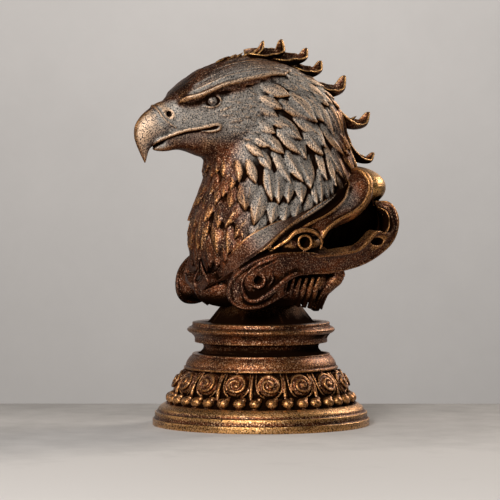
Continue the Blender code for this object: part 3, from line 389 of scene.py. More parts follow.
def circle(count):
    """Angles evenly spaced round a circle."""
    return np.linspace(0.0, 2 * math.pi, count, endpoint=False)


def held(values):
    """Values kept between 0 and 1."""
    return np.clip(values, 0.0, 1.0)


def rising(values, start, width):
    """From 0 at the start to 1 a width further up."""
    return held((values - start) / width)


def falling(values, end, width):
    """From 1 a width before the end down to 0 at the end."""
    return held((end - values) / width)


def unit(vectors):
    """Vectors scaled to length one."""
    vectors = np.asarray(vectors, float)
    return vectors / np.maximum(np.linalg.norm(vectors, axis=-1, keepdims=True), 1e-9)


class Shells:
    """Closed shells gathered to be fused into one cast skin."""

    def __init__(self):
        self.points = []
        self.faces = []
        self.total = 0

    def add(self, points, faces, both_sides=False):
        points = np.asarray(points, float)
        self.points.append(points)
        self.faces.extend([tuple(int(i) + self.total for i in face) for face in faces])
        self.total += len(points)
        if both_sides:
            self.add(points * (-1.0, 1.0, 1.0), [tuple(reversed(face)) for face in faces])

    def loft(self, rings, both_sides=False):
        """A shell over a row of closed rings, with its two ends capped."""
        rings = np.asarray(rings, float)
        rows, sides = rings.shape[:2]
        faces = []
        for r in range(rows - 1):
            for s in range(sides):
                t = (s + 1) % sides
                faces.append((r * sides + s, r * sides + t, (r + 1) * sides + t, (r + 1) * sides + s))
        faces.append(tuple(reversed(range(sides))))
        faces.append(tuple((rows - 1) * sides + s for s in range(sides)))
        self.add(rings.reshape(-1, 3), faces, both_sides)

    def tube(self, line, radii, sides=10, both_sides=False):
        """A round rod along a line, as thick at each point as radii says."""
        line = np.asarray(line, float)
        radii = np.interp(np.linspace(0, 1, len(line)), np.linspace(0, 1, len(radii)), radii)
        along = unit(np.gradient(line, axis=0))
        side = unit(np.cross(along, (0.31, 0.17, 0.93)))
        rise = np.cross(side, along)
        turn = circle(sides)
        rings = (
            line[:, None]
            + side[:, None] * (np.cos(turn)[None, :, None] * radii[:, None, None])
            + rise[:, None] * (np.sin(turn)[None, :, None] * radii[:, None, None])
        )
        self.loft(rings, both_sides)

    def rod(self, places, count, radii, sides=8):
        """A rod on both sides, along a smooth curve through some places."""
        self.tube(curve_through(places, count), radii, sides, True)

    def band(self, edge_a, edge_b, heights, depth, count=60, both_sides=True, sunk_ends=(0.0, 0.0)):
        """A strip between two edge lines, its face raised by heights, its back and ends sunk."""
        a = curve_through(edge_a, count)
        b = curve_through(edge_b, count)
        across = b - a
        along = np.gradient((a + b) / 2, axis=0)
        normal = unit(np.cross(along, across))
        normal *= np.where(normal @ BAND_FACING < 0, -1.0, 1.0)[:, None]
        share = np.linspace(0.0, 1.0, len(heights))
        face = a[:, None] + across[:, None] * share[None, :, None]
        travel = np.linspace(0.0, 1.0, count)
        sink = sunk_ends[0] * held(1 - travel / 0.12) ** 2
        sink = sink + sunk_ends[1] * held(1 - (1 - travel) / 0.12) ** 2
        lift = np.asarray(heights)[None, :, None] - sink[:, None, None]
        raised = face + normal[:, None] * lift
        sunk = face[:, ::-1] - normal[:, None] * depth
        self.loft(np.concatenate([raised, sunk], axis=1), both_sides)

    def blob(self, centre, radii, both_sides=False, rows=16, sides=28):
        """An ellipsoid."""
        lift = np.linspace(-math.pi / 2 + 0.06, math.pi / 2 - 0.06, rows)
        turn = circle(sides)
        rings = np.stack(
            [
                np.cos(lift)[:, None] * np.cos(turn)[None],
                np.cos(lift)[:, None] * np.sin(turn)[None],
                np.repeat(np.sin(lift)[:, None], sides, axis=1),
            ],
            axis=-1,
        )
        self.loft(rings * np.asarray(radii) + np.asarray(centre), both_sides)

    def ring(self, centre, axis, radius, thickness, both_sides=True, sides=10, steps=36, squash=1.0):
        """A closed round ring about an axis, squashed in height if asked."""
        axis = unit(axis)
        side = unit(np.cross(axis, (0.0, 0.0, 1.0)))
        rise = np.cross(side, axis) * squash
        points = []
        for turn in circle(steps):
            out = side * math.cos(turn) + rise * math.sin(turn)
            for roll in circle(sides):
                reach = out * (radius + thickness * math.cos(roll))
                points.append(np.asarray(centre) + reach + axis * thickness * math.sin(roll))
        faces = []
        for i in range(steps):
            j = (i + 1) % steps
            for k in range(sides):
                m = (k + 1) % sides
                faces.append((i * sides + k, i * sides + m, j * sides + m, j * sides + k))
        self.add(points, faces, both_sides)

    def mesh(self, name, place):
        """The gathered shells as a mesh in metres."""
        mesh = bpy.data.meshes.new(name)
        mesh.from_pydata(place(np.vstack(self.points)).tolist(), [], self.faces)
        return mesh


def section(turn, half_width, half_height, power=2.3):
    """Points of a rounded section, a little squarer than an ellipse."""
    c, s = np.cos(turn), np.sin(turn)
    x = half_width * np.sign(c) * np.abs(c) ** (2 / power)
    h = half_height * np.sign(s) * np.abs(s) ** (2 / power)
    return x, h


def upright_rings(stations, count, sides=40):
    """Rings across Y for stations of y, lowest z, highest z and half width."""
    turn = circle(sides)
    rings = []
    for y, low, high, half in curve_through(stations, count):
        x, h = section(turn, half, (high - low) / 2)
        rings.append(np.stack([x, np.full(sides, y), (high + low) / 2 + h], axis=1))
    return rings


def level_rings(stations, count, sides=48):
    """Rings across Z for stations of z, front y, back y and half width."""
    turn = circle(sides)
    rings = []
    for z, front, back, half in curve_through(stations, count):
        x, h = section(turn, half, (back - front) / 2, 2.15)
        rings.append(np.stack([x, (front + back) / 2 + h, np.full(sides, z)], axis=1))
    return rings


def head_side(y, z):
    """How far the smooth head reaches to the side at a place."""
    stations = np.array(HEAD_STATIONS)
    low, high, half = (np.interp(y, stations[:, 0], stations[:, k]) for k in (1, 2, 3))
    away = abs(z - (low + high) / 2) / ((high - low) / 2)
    return half * max(1.0 - away**2.3, 0.0) ** (1 / 2.3)


def on_head(places, proud, count=60):
    """A smooth line over the head's side through places of y and z."""
    return [(head_side(y, z) + proud, y, z) for y, z in curve_through(places, count)]


def add_core(shells):
    """Head with its brow and lower beak, neck and breast, without any carving."""
    shells.loft(upright_rings(HEAD_STATIONS, 40))
    shells.loft(level_rings(TRUNK_STATIONS, 50))
    shells.loft(upright_rings(JAW_STATIONS, 24, 24))
    shells.loft(brow_rings(), True)


def brow_frames(count=60):
    """Crown, ridge and lower edge of the brow at each of its sections, and which way it stands proud."""
    crown, ridge, lower = (curve_through(line, count) for line in (BROW_UPPER, BROW_RIDGE, BROW_LOWER))
    for k, (a, r, b) in enumerate(zip(crown, ridge, lower)):
        t = k / (count - 1)
        proud = (1.0 - held((t - 0.72) / 0.28) ** 1.5) * held(t / 0.1) ** 0.5
        yield a, r, b, np.array((0.92, -0.25, 0.12)) * proud


def brow_spot(a, r, out, s):
    """A point of the brow's slope, from the crown at 0 to the ridge at 1."""
    return a + (r - a) * s + out * 0.9 * math.sin(math.pi * s)


def brow_rings():
    """Sections of the brow, which swells out of the crown and overhangs the eye."""
    rings = []
    for a, r, b, out in brow_frames():
        slope = [brow_spot(a, r, out, s) for s in np.linspace(0.0, 0.86, 8)]
        lip = [r + out * 0.55, r + out * 0.9 - (0.0, 0.0, 0.35), r + out * 0.75 - (0.0, 0.0, 0.9)]
        under = [r + (b - r) * 0.6 + out * 0.15, b - (0.3, 0.0, 0.0)]
        inner = [b - (5.0, 0.0, -0.6), (a + b) / 2 - (5.0, 0.0, 0.0), a - (2.5, 0.0, 3.0)]
        rings.append(np.array(slope + lip + under + inner))
    return rings


def brow_hair(strand, strands):
    """A strand of hair that sweeps back over the brow and ends in a wisp."""
    frames = list(brow_frames())
    first = int(6 + 22 * ((strand * 0.618) % 1.0) * strand / strands)
    line = []
    for k in range(first, len(frames), 3):
        a, r, _, out = frames[k]
        t = (k - first) / (len(frames) - first)
        s = (strand + 0.35 + 0.25 * math.sin(2.2 * t + strand)) / strands
        line.append(brow_spot(a, r, out, s) + out * 0.12)
    tail = line[-1] - line[-2]
    line.append(line[-1] + tail * 0.9 + (0.55, 0.0, 0.15))
    return curve_through(line, 40)


def add_back(shells):
    """Panel that joins the scrolls behind the neck, and the hump above it, which carries painted gold light.
    """
    shells.loft(level_rings(BACK_STATIONS, 30))
    shells.blob((0.0, 37.2, 44.4), (19.0, 10.6, 7.9), False, 20, 36)


def add_beak(shells):
    """Hooked upper beak, lower beak, lips and the line of the cere."""
    sides = 30
    turn = circle(sides)
    ridge = curve_through(BEAK_RIDGE, 44)
    edge = curve_through(BEAK_EDGE, 44)
    widths = curve_through([(w,) for w in BEAK_WIDTHS], 44)[:, 0]
    rings = []
    for (ry, rz), (ey, ez), width in zip(ridge, edge, widths):
        across, rise = section(turn, width, 0.5, 2.2)
        swell = across * (1.0 - 0.35 * (rise + 0.1))
        rings.append(
            np.stack([swell, (ry + ey) / 2 + (ry - ey) * rise, (rz + ez) / 2 + (rz - ez) * rise], axis=1)
        )
    shells.loft(rings)
    lip = curve_through(list(MOUTH_FRONT) + on_head(MOUTH_SIDE, 0.2, 24), 90)
    shells.tube(lip, LIP_THICKNESS, 9, True)
    shells.rod(CERE_LINE, 30, (0.4, 0.42, 0.4, 0.3, 0.1))


def add_brow_and_eye(shells):
    """Crisp edge of the brow, its hair, eyeball and lids."""
    shells.loft(brow_rings(), True)
    shells.rod([r + out * 0.5 for _, r, _, out in brow_frames()], 60, (0.3, 0.62, 0.6, 0.55, 0.3), 9)
    for strand in range(BROW_STRANDS):
        shells.tube(brow_hair(strand, BROW_STRANDS), (0.12, 0.5, 0.68, 0.7, 0.62, 0.1), 9, True)
    shells.blob(EYE_CENTRE, (1.5, EYE_RADIUS, EYE_RADIUS * 0.92), True, 14, 24)
    shells.tube(on_head(UPPER_LID, 0.5, 26), (0.1, 0.4, 0.5, 0.5, 0.3), 8, True)
    shells.tube(on_head(LOWER_LID, 0.25, 26), (0.1, 0.3, 0.36, 0.34, 0.2), 8, True)


def add_crest(shells):
    """Deep scoops that sweep back from the middle line, curl up and open a little to the left."""
    spread = np.linspace(-1.0, 1.0, 25)
    lean = math.radians(CREST_LEAN)
    for sweep, half_width in CREST:
        line = curve_through(sweep, 60)
        along = unit(np.gradient(line, axis=0))
        rings = []
        for k, (y, z) in enumerate(line):
            t = k / (len(line) - 1)
            slim = (1.0 - t) ** 0.5
            grown = 0.4 + 0.6 * math.sin(math.pi / 2 * min(t / 0.3, 1.0))
            half = half_width * slim * grown + 0.3
            spur = 0.45 * math.exp(-(((t - 0.42) / 0.10) ** 2)) * half_width / 6.0
            deep = half_width * 0.72 * (1.0 - t) ** 0.55 + 0.4 + spur
            lip = 0.45 + 0.55 * slim
            outer = deep * np.abs(spread) ** 2.3
            inner = 0.42 * deep + 0.58 * deep * np.abs(spread) ** 1.8
            across = np.concatenate([spread * half, spread[::-1] * max(half - lip, 0.15)])
            rise = np.concatenate([outer, inner[::-1] + 0.25])
            leaned = rise * math.cos(lean) - across * math.sin(lean)
            aside = across * math.cos(lean) + rise * math.sin(lean)
            rings.append(np.stack([aside, y - along[k, 1] * leaned, z + along[k, 0] * leaned], axis=1))
        shells.loft(rings)
    for y, z, reach in CREST_TUFTS:
        tuft = ((0.8, y - 4.5, z - 1.6), (0.9, y - 1.5, z - 0.2), (1.0, y + reach * 0.5, z + reach * 0.8))
        shells.tube(curve_through(tuft, 14), (0.5, 0.7, 0.55, 0.12), 8)


def grooves(count, lines, depth, rims=(0.0, 0.0)):
    """Heights across a band: fine grooves between two raised rims."""
    t = np.linspace(0.0, 1.0, count)
    heights = -depth * 0.5 * (1 + np.cos(2 * math.pi * lines * t))
    for place, rim in zip((0.0, 1.0), rims):
        heights = np.maximum(heights, rim * np.exp(-(((t - place) / 0.09) ** 2)) - 0.1)
    return heights


def add_shawl(shells):
    """Striped collar, channel, broad shawl band and the hollow scroll behind it."""
    stripes = grooves(57, 8, 0.62, (0.3, 1.2)) + 0.5
    shells.band(COLLAR_INNER, COLLAR_OUTER, stripes, 5.0, 90, True, (3.0, 0.0))
    channel = (1.2, 0.2, -1.2, -1.7, -1.8, -1.7, -1.2, 0.2, 1.2)
    shells.band(COLLAR_OUTER[:8], CHANNEL_OUTER, channel, 5.0, 70, True, (3.0, 0.0))
    shawl = (1.1, 0.9, 0.1, -0.1, -0.2, -0.3, -0.4, -0.5, -0.4, -0.1, 0.5, 1.2, 1.2, 0.4)
    shells.band(CHANNEL_OUTER[:7], SHAWL_OUTER, shawl, 3.4, 80, True, (2.0, 0.0))
    edge = (0.9, 1.0, 0.2, -0.2, -0.2, 0.0, 0.1, 0.2, 0.1, 0.3, 0.8, 0.4)
    shells.band(SCROLL_LIP, SCROLL_OUTER, edge, 3.4, 110, True, (3.0, 0.0))
    add_scroll_wall(shells)
    for line, thickness in ((COLLAR_RIDGE_UPPER, 0.42), (COLLAR_RIDGE_LOWER, 0.5)):
        shells.rod(line, 40, (0.3, thickness, thickness, 0.2))
    for line in SCROLL_RIDGES:
        shells.rod(line, 30, (0.2, 0.5, 0.5, 0.4, 0.2))


def band_lines(edge_a, edge_b, rise, count=120, rows=24):
    """Where the skin of a striped band lies, how far along and across it, and which way it runs."""
    a, b = curve_through(edge_a, count), curve_through(edge_b, count)
    along = unit(np.gradient((a + b) / 2, axis=0))
    lines = []
    for k in range(count):
        side = unit(b[k] - a[k])
        out = unit(np.cross(along[k], side))
        out = out if out @ BAND_FACING > 0 else -out
        pitch = side * COLLAR_LINES / np.linalg.norm(b[k] - a[k])
        for s in np.linspace(0.0, 1.0, rows):
            spot = a[k] + (b[k] - a[k]) * s + out * rise
            lines.append((0.0, s * COLLAR_LINES, spot, np.zeros(3), pitch))
    return lines


def add_scroll_wall(shells):
    """The curled wall that closes the scroll's hollow below and behind."""
    path = curve_through(SCROLL_OUTER, 60)
    along = unit(np.gradient(path[:, 1:], axis=0))
    rings = []
    for k, (x, y, z) in enumerate(path):
        t = k / (len(path) - 1)
        thick = 1.6 + 1.6 * math.sin(math.pi * t)
        inward = np.array((-along[k, 1], along[k, 0])) * thick
        near, deep = x - 0.8, 9.0
        inner_y, inner_z = y + inward[0], z + inward[1]
        rings.append(((near, y, z), (near, inner_y, inner_z), (deep, inner_y, inner_z), (deep, y, z)))
    shells.loft(rings, True)


def add_lower_scrolls(shells):
    """Flank with its three ridges, front loops, eye rings, hanging leaf, flutes and the bib."""
    shells.blob((21.6, -12.6, 10.6), (5.0, 9.2, 8.4), True)
    shells.blob((25.4, 2.0, 24.6), (4.6, 9.6, 4.6), True)
    flank = (0.2, 0.5, 0.7, 0.8, 0.8, 0.7, 0.5, 0.2, 0.1, 0.0, -0.1, -0.3)
    shells.band(FLANK_UPPER, FLANK_LOWER, flank, 6.0, 80, True, (2.5, 1.0))
    shells.band(LOOP_OUTER[4:14], FRONT_CHANNEL, (0.4, 0.1, -0.1, -0.2, -0.1, 0.2, 0.5), 5.0, 80)
    loop = (0.3, 0.55, 0.6, 0.6, 0.65, 0.8, 0.95, 0.9, 0.8, 0.6, 0.3)
    shells.rod(LOOP_OUTER, 110, loop, 10)
    shells.rod(RIDGE_MIDDLE, 60, (0.2, 0.42, 0.45, 0.45, 0.42, 0.3))
    shells.rod(RIDGE_LOWER, 50, (0.2, 0.42, 0.45, 0.42, 0.3))
    shells.rod(LOOP_INNER, 80, (0.3, 0.8, 0.95, 1.05, 1.0, 0.95, 0.8, 0.4), 10)
    shells.ring(LOOP_EYE, (1.0, -0.45, 0.0), 2.35, 0.55, True, 10, 36, 1.16)
    shells.rod(LOOP_EYE_ARC, 24, (0.15, 0.4, 0.42, 0.2))
    shells.rod(LID_LINE, 60, (0.35, 0.7, 0.85, 0.85, 0.7, 0.4), 10)
    shells.ring(RING_CENTRE, (1.0, -0.1, 0.1), 2.45, 0.6)
    shells.rod(LEAF_LINE, 30, (2.0, 2.8, 2.6, 2.1, 1.7), 16)
    shells.blob((20.0, 12.0, 11.0), (4.5, 6.0, 5.0), True)
    for shift in LEAF_RIBS:
        rib = [(x + 2.0, y + 0.5 + shift, z) for x, y, z in LEAF_LINE]
        shells.rod(rib, 24, (0.2, 0.6, 0.6, 0.5, 0.3))
    for y, low in FLUTES:
        flute = ((26.8, y + 1.4, 12.4), (25.4, y + 0.6, 8.6), (22.4 - 0.1 * y, y, low))
        shells.rod(flute, 18, (0.6, 1.25, 0.9), 9)
    shells.blob((20.5, 0.0, 8.6), (5.0, 13.0, 7.0), True)
    shells.blob(BIB_CENTRE, BIB_RADII)
    shells.tube(curve_through(BIB_EDGE, 30), (0.3, 0.5, 0.6, 0.5, 0.3), 8)


def flow_at(point, normal):
    """Direction in which the feathers lie at a point of the core."""
    _, y, z = point
    ry, rz = y - FLOW_CENTRE[0], z - FLOW_CENTRE[1]
    around = unit((rz, -ry))
    fall = held((62.0 - z) / 34.0)
    dy, dz = around * (1.0 - fall) + np.array((-0.42, -1.0)) * fall
    if y < FLOW_CENTRE[0] + 6.0 and z < 60.0:
        dy, dz = 0.05, -1.0
    lie = np.array((0.0, dy, dz))
    return unit(lie - normal * lie.dot(normal))


def feather_size(point):
    """Length, half width and lift of the feather that grows at a point, or None on the bare face."""
    _, y, z = point
    from_face = math.hypot(y - FACE_CENTRE[0], z - FACE_CENTRE[1])
    if z < 24.0:
        return None
    if z > 83.0 and y < 10.0:
        return (8.0, 0.8, 0.5) if y > -34.0 else None
    if from_face < FACE_RADIUS or (y < FACE_CENTRE[0] + 12.0 and z > 56.0):
        from_eye = math.hypot(y - EYE_CENTRE[1], z - EYE_CENTRE[2])
        cheek = y > -24.0 and z > 63.0 and from_eye > 4.2 and (z > 70.0 or y > -19.0)
        return (5.5, 0.5, 0.42) if cheek else None
    if y < -15.0:
        grown = held((60.0 - z) / 18.0)
        return 5.0 + 7.5 * grown, 1.1 + 0.9 * grown, 0.9 + 0.9 * grown
    if y > 12.0 and z > 44.0:
        return (8.0, 1.5, 1.4) if z > 80.0 else (17.0, 1.75, 2.1)
    grown = held((from_face - FACE_RADIUS) / 13.0)
    return 6.0 + 8.0 * grown, 1.6 + 1.0 * grown, 1.4 + 1.0 * grown


def feather_shell(tree, root, lie, normal, length, half_width, lift, rows=18, columns=11):
    """A leaf-shaped feather that follows the core, rising to its pointed tip."""
    across = np.cross(normal, lie)
    lines, vane = [], []
    for u in np.linspace(0.0, 1.0, rows):
        if u < 0.5:
            half = half_width * (0.35 + 0.65 * math.sin(math.pi * u))
        else:
            half = half_width * (1.0 - ((u - 0.5) / 0.5) ** 1.7) + 0.04
        top, under = [], []
        for v in np.linspace(-1.0, 1.0, columns):
            spot = root + lie * (u * length) + across * (v * half)
            near, facing, _, _ = tree.find_nearest(Vector(spot))
            near, facing = np.array(near), np.array(facing)
            crown = 1.0 - 0.30 * v * v + 0.14 * math.exp(-((v / 0.16) ** 2))
            rise = lift * (0.08 + 0.92 * u**0.75) * crown
            top.append(near + facing * rise)
            under.append(near - facing * 1.4)
            vane.append((u * length, v * half, near + facing * rise, lie, across))
        lines.append(np.array(top + under[::-1]))
    return lines, vane


def add_feathers(shells, core):
    """Overlapping feathers, laid row after row from the face outwards wherever there is room."""
    tree = BVHTree.FromPolygons([Vector(p) for p in core[0]], core[1])
    points, faces = np.asarray(core[0]), core[1]
    centres = np.array([points[list(face)].mean(axis=0) for face in faces])
    dice = np.random.default_rng(FEATHER_SEED)
    away = np.hypot(centres[:, 1] - FACE_CENTRE[0], centres[:, 2] - FACE_CENTRE[1])
    order = np.argsort(away + dice.uniform(0.0, 5.0, len(centres)))
    kept = []
    cells = {}
    for index in order:
        spot = centres[index]
        if spot[0] < -0.6:
            continue
        size = feather_size(spot)
        if size is None:
            continue
        _, normal, _, _ = tree.find_nearest(Vector(spot))
        normal = np.array(normal)
        lie = flow_at(spot, normal)
        lie = unit(lie + np.cross(normal, lie) * dice.uniform(-0.16, 0.16))
        across = np.cross(normal, lie)
        length, half_width, lift = size
        home = tuple((spot // 10.0).astype(int))
        crowded = False
        for dx in (-1, 0, 1):
            for dy in (-1, 0, 1):
                for dz in (-1, 0, 1):
                    for other in cells.get((home[0] + dx, home[1] + dy, home[2] + dz), ()):
                        gap = spot - other
                        ahead = gap.dot(lie) / (0.50 * length)
                        beside = gap.dot(across) / (1.45 * half_width)
                        if ahead * ahead + beside * beside < 1.0:
                            crowded = True
        if not crowded:
            cells.setdefault(home, []).append(spot)
            length *= dice.uniform(0.85, 1.25)
            half_width *= dice.uniform(0.85, 1.15)
            lift *= dice.uniform(0.8, 1.3)
            kept.append((spot, lie, normal, length, half_width, lift))
    vanes = []
    for spot, lie, normal, length, half_width, lift in kept:
        lines, vane = feather_shell(tree, spot, lie, normal, length, half_width, lift)
        shells.loft(lines, spot[0] > 0.6)
        vanes.extend(vane)
    print("feathers", len(kept))
    return vanes


def placed(name, data):
    """A new object in the scene."""
    made = bpy.data.objects.new(name, data)
    bpy.context.scene.collection.objects.link(made)
    return made


def modified(mesh, kind, settings):
    """The mesh as one modifier leaves it."""
    work = placed("work", mesh)
    modifier = work.modifiers.new("work", kind)
    for key, value in settings.items():
        setattr(modifier, key, value)
    made = bpy.data.meshes.new_from_object(work.evaluated_get(bpy.context.evaluated_depsgraph_get()))
    bpy.data.objects.remove(work)
    return made


def fused(mesh, cell, one_piece=True):
    """One skin round overlapping shells, its largest closed piece alone where it is one."""
    skin = modified(mesh, "REMESH", {"mode": "VOXEL", "voxel_size": cell, "use_smooth_shade": True})
    if one_piece:
        keep_largest(skin)
    return skin


def thinned(mesh, triangles):
    """The mesh brought down to a number of triangles."""
    faces = len(mesh.loops) - 2 * len(mesh.polygons)
    return modified(mesh, "DECIMATE", {"ratio": min(1.0, triangles / faces)})


def keep_largest(mesh):
    """Drop every closed piece of a mesh but the one with the most points."""
    edges = edges_of(mesh)
    label = np.arange(len(mesh.vertices))
    while True:
        low = np.minimum(label[edges[:, 0]], label[edges[:, 1]])
        after = label.copy()
        np.minimum.at(after, edges[:, 0], low)
        np.minimum.at(after, edges[:, 1], low)
        after = after[after]
        if (after == label).all():
            break
        label = after
    values, counts = np.unique(label, return_counts=True)
    loose = np.flatnonzero(label != values[counts.argmax()])
    if len(loose) == 0:
        return
    work = bmesh.new()
    work.from_mesh(mesh)
    work.verts.ensure_lookup_table()
    bmesh.ops.delete(work, geom=[work.verts[i] for i in loose], context="VERTS")
    work.to_mesh(mesh)
    work.free()


def values_of(items, key, width, kind=float):
    """Values of a mesh's points or edges, a row for each."""
    values = np.empty(len(items) * width, kind)
    items.foreach_get(key, values)
    return values.reshape(-1, width)


def points_of(mesh):
    """Points of a mesh in metres."""
    return values_of(mesh.vertices, "co", 3)


def set_points(mesh, points):
    """Move the points of a mesh."""
    mesh.vertices.foreach_set("co", points.ravel())


def in_shares(mesh):
    """Points of a mesh of the bust in shares of its height."""
    return (points_of(mesh) - (0.0, 0.0, BUST_FOOT)) / SHARE


def normals_of(mesh):
    """Normals at the points of a mesh."""
    return values_of(mesh.vertices, "normal", 3)


def edges_of(mesh):
    """Edges of a mesh as pairs of points."""
    return values_of(mesh.edges, "vertices", 2, np.int64)


def eased(values, edges, rounds, hold=0.4):
    """Values at a mesh's points, eased towards their neighbours'."""
    size = len(values)
    count = np.maximum(np.bincount(edges.ravel(), minlength=size), 1)
    for _ in range(rounds):
        columns = []
        for column in values.T:
            total = np.bincount(edges[:, 0], weights=column[edges[:, 1]], minlength=size)
            total += np.bincount(edges[:, 1], weights=column[edges[:, 0]], minlength=size)
            columns.append(column * hold + total / count * (1 - hold))
        values = np.stack(columns, axis=1)
    return values


def core_form(mesh):
    """The smooth core in shares: points and faces."""
    points = eased(points_of(mesh), edges_of(mesh), 6)
    points[:, 2] -= BUST_FOOT
    return points / SHARE, [tuple(p.vertices) for p in mesh.polygons]


def dent(mesh, centre, reach, depth):
    """Press a soft-edged hollow into the skin on both sides."""
    points = points_of(mesh)
    place = in_shares(mesh)
    place[:, 0] = np.abs(place[:, 0])
    away = np.linalg.norm((place - np.array(centre)) / reach, axis=1)
    push = depth * SHARE * held(2.4 * (1.0 - away))
    points[:, 0] -= np.sign(points[:, 0]) * push
    set_points(mesh, points)


def soften(mesh, rounds):
    """Ease the skin itself."""
    set_points(mesh, eased(points_of(mesh), edges_of(mesh), rounds))


def within_box(mesh, box):
    """Hold a casting inside the box of the frame's own solid."""
    low, high = (np.array(corner) for corner in box)
    set_points(mesh, np.clip(points_of(mesh), low, high))


def clear_of_cone(mesh):
    """Push the underside clear of the plinth's cone by the seat gap."""
    points = points_of(mesh)
    height, low, high, _ = COURSES[-1]
    t = (points[:, 2] - (PLINTH_TOP - height * MM)) / (height * MM)
    wall = (low + (high - low) * held(t)) * MM + SEAT_GAP
    reach = np.hypot(points[:, 0], points[:, 1])
    aside = wall - reach
    above = PLINTH_TOP + SEAT_GAP - points[:, 2]
    inside = (aside > 0) & (above > 0)
    outwards = inside & (aside < above)
    upwards = inside & ~outwards
    scale = wall[outwards] / np.maximum(reach[outwards], 1e-6)
    points[outwards, 0] *= scale
    points[outwards, 1] *= scale
    points[upwards, 2] = PLINTH_TOP + SEAT_GAP
    set_points(mesh, points)


def give_values(mesh, name, values):
    """A number at every point, for the finish to read."""
    layer = mesh.attributes.new(name, "FLOAT", "POINT")
    layer.data.foreach_set("value", np.asarray(values, np.float32))


def lessen_wear(mesh, shares):
    """Take a share off the wear at every point."""
    layer = mesh.attributes["worn"].data
    layer.foreach_set("value", values_of(layer, "value", 1)[:, 0] * (1.0 - shares))


def weather(meshes, reach):
    """Work out where each skin is rubbed, where it curves inwards, which the finish darkens as patina and
    painted shade, and how deep in shade each point lies, for painted shade.
    """
    points, faces, total = [], [], 0
    for mesh in meshes:
        points.append(points_of(mesh))
        faces.extend([tuple(i + total for i in p.vertices) for p in mesh.polygons])
        total += len(mesh.vertices)
    tree = BVHTree.FromPolygons(np.vstack(points).tolist(), faces)
    scatter = unit(np.random.default_rng(SHADE_SEED).normal(size=(SHADE_RAYS, 3)))
    for mesh, spots in zip(meshes, points):
        edges = edges_of(mesh)
        normals = normals_of(mesh)
        near = eased(spots, edges, 3)
        wide = eased(near, edges, 12)
        fine = ((spots - near) * normals).sum(axis=1) / FINE_BEND
        broad = ((spots - wide) * normals).sum(axis=1) / BROAD_BEND
        bend = eased((fine * 0.5 + broad * 0.7)[:, None], edges, 1)[:, 0]
        give_values(mesh, "worn", held(bend))
        give_values(mesh, "hollow", held(-bend))
        starts = (spots + normals * RAY_START).tolist()
        shade = np.zeros(len(spots))
        for way in scatter:
            ways = unit(way + normals * 1.05).tolist()
            for index, (start, direction) in enumerate(zip(starts, ways)):
                if tree.ray_cast(start, direction, reach)[0] is not None:
                    shade[index] += 1.0
        give_values(mesh, "shade", eased(shade[:, None] / SHADE_RAYS, edges, 1)[:, 0])


def near_line(points, line, reach):
    """How near each point lies to a line, from 0 to 1."""
    away = np.full(len(points), 1e9)
    for spot in line:
        away = np.minimum(away, (((points - spot) * (0.5, 1.0, 1.0)) ** 2).sum(axis=1))
    return np.exp(-away / reach**2)


def crease_shadows(points):
    """Painted shade along lines under the lip, in the gape, round the eye and under the front of the brow.
    """
    under_lip = [(x, y, z - 1.0) for x, y, z in list(MOUTH_FRONT) + on_head(MOUTH_SIDE[:5], 0.0, 40)]
    gape = on_head([(y, z - 0.15) for y, z in ((-28.0, 65.7), (-25.0, 66.0), (-22.6, 66.6))], 0.2, 20)
    turn = np.linspace(0.0, 2 * math.pi, 30)
    around = [(-24.0 + 2.1 * math.cos(t), 76.0 + 1.95 * math.sin(t)) for t in turn]
    socket = [(head_side(y, z) + 0.3, y, z) for y, z in around]
    wedge = on_head(((-35.0, 75.2), (-32.0, 75.0), (-29.0, 75.8), (-26.5, 77.4)), 0.2, 20)
    lines = ((curve_through(under_lip, 80), 0.6), (gape, 0.45), (socket, 0.42), (wedge, 1.2))
    return np.max([near_line(points, line, reach) for line, reach in lines], axis=0)


def painted_grey_sheen(x, y, z, normals):
    """The painted grey sheen on the upright sides of the head, neck and collar, where the front light would
    shine.
    """
    upright = held((np.abs(normals[:, 0]) - 0.30) * 2.6)
    level = held(1.0 + normals[:, 2] * 1.5)
    throat = np.maximum(rising(z - 0.30 * (y + 24.0), *SHEEN_THROAT), rising(y, *SHEEN_NECK))
    nape = 1.0 - rising(y, *SHEEN_NAPE)
    return upright * level * rising(z, *SHEEN_FOOT) * throat * nape * falling(x, *SHEEN_SIDE)


def scroll_pocket_shade(points, normals, head):
    """The painted shade inside the open scroll, which on the head's skin ends below the collar."""
    x, y, z = np.abs(points[:, 0]), points[:, 1], points[:, 2]
    inward = np.maximum(normals[:, 0] * np.sign(points[:, 0]), np.maximum(normals[:, 2], -normals[:, 1]))
    pocket = falling(x, 26.0, 3.0) * rising(y, 6.0, 4.0) * falling(y, 43.5, 1.5) * rising(z, 17.0, 2.0)
    pocket *= falling(z + np.maximum(y - 30.0, 0.0), 46.0, 2.0)
    pocket *= held((inward - 0.1) * 4.0) * (x > SIDE_START)
    if head:
        _, inner_y, inner_z = np.array(COLLAR_INNER[::-1]).T
        pocket *= held((np.interp(y, inner_y, inner_z) - 1.0 - z) / 1.5)
    return pocket


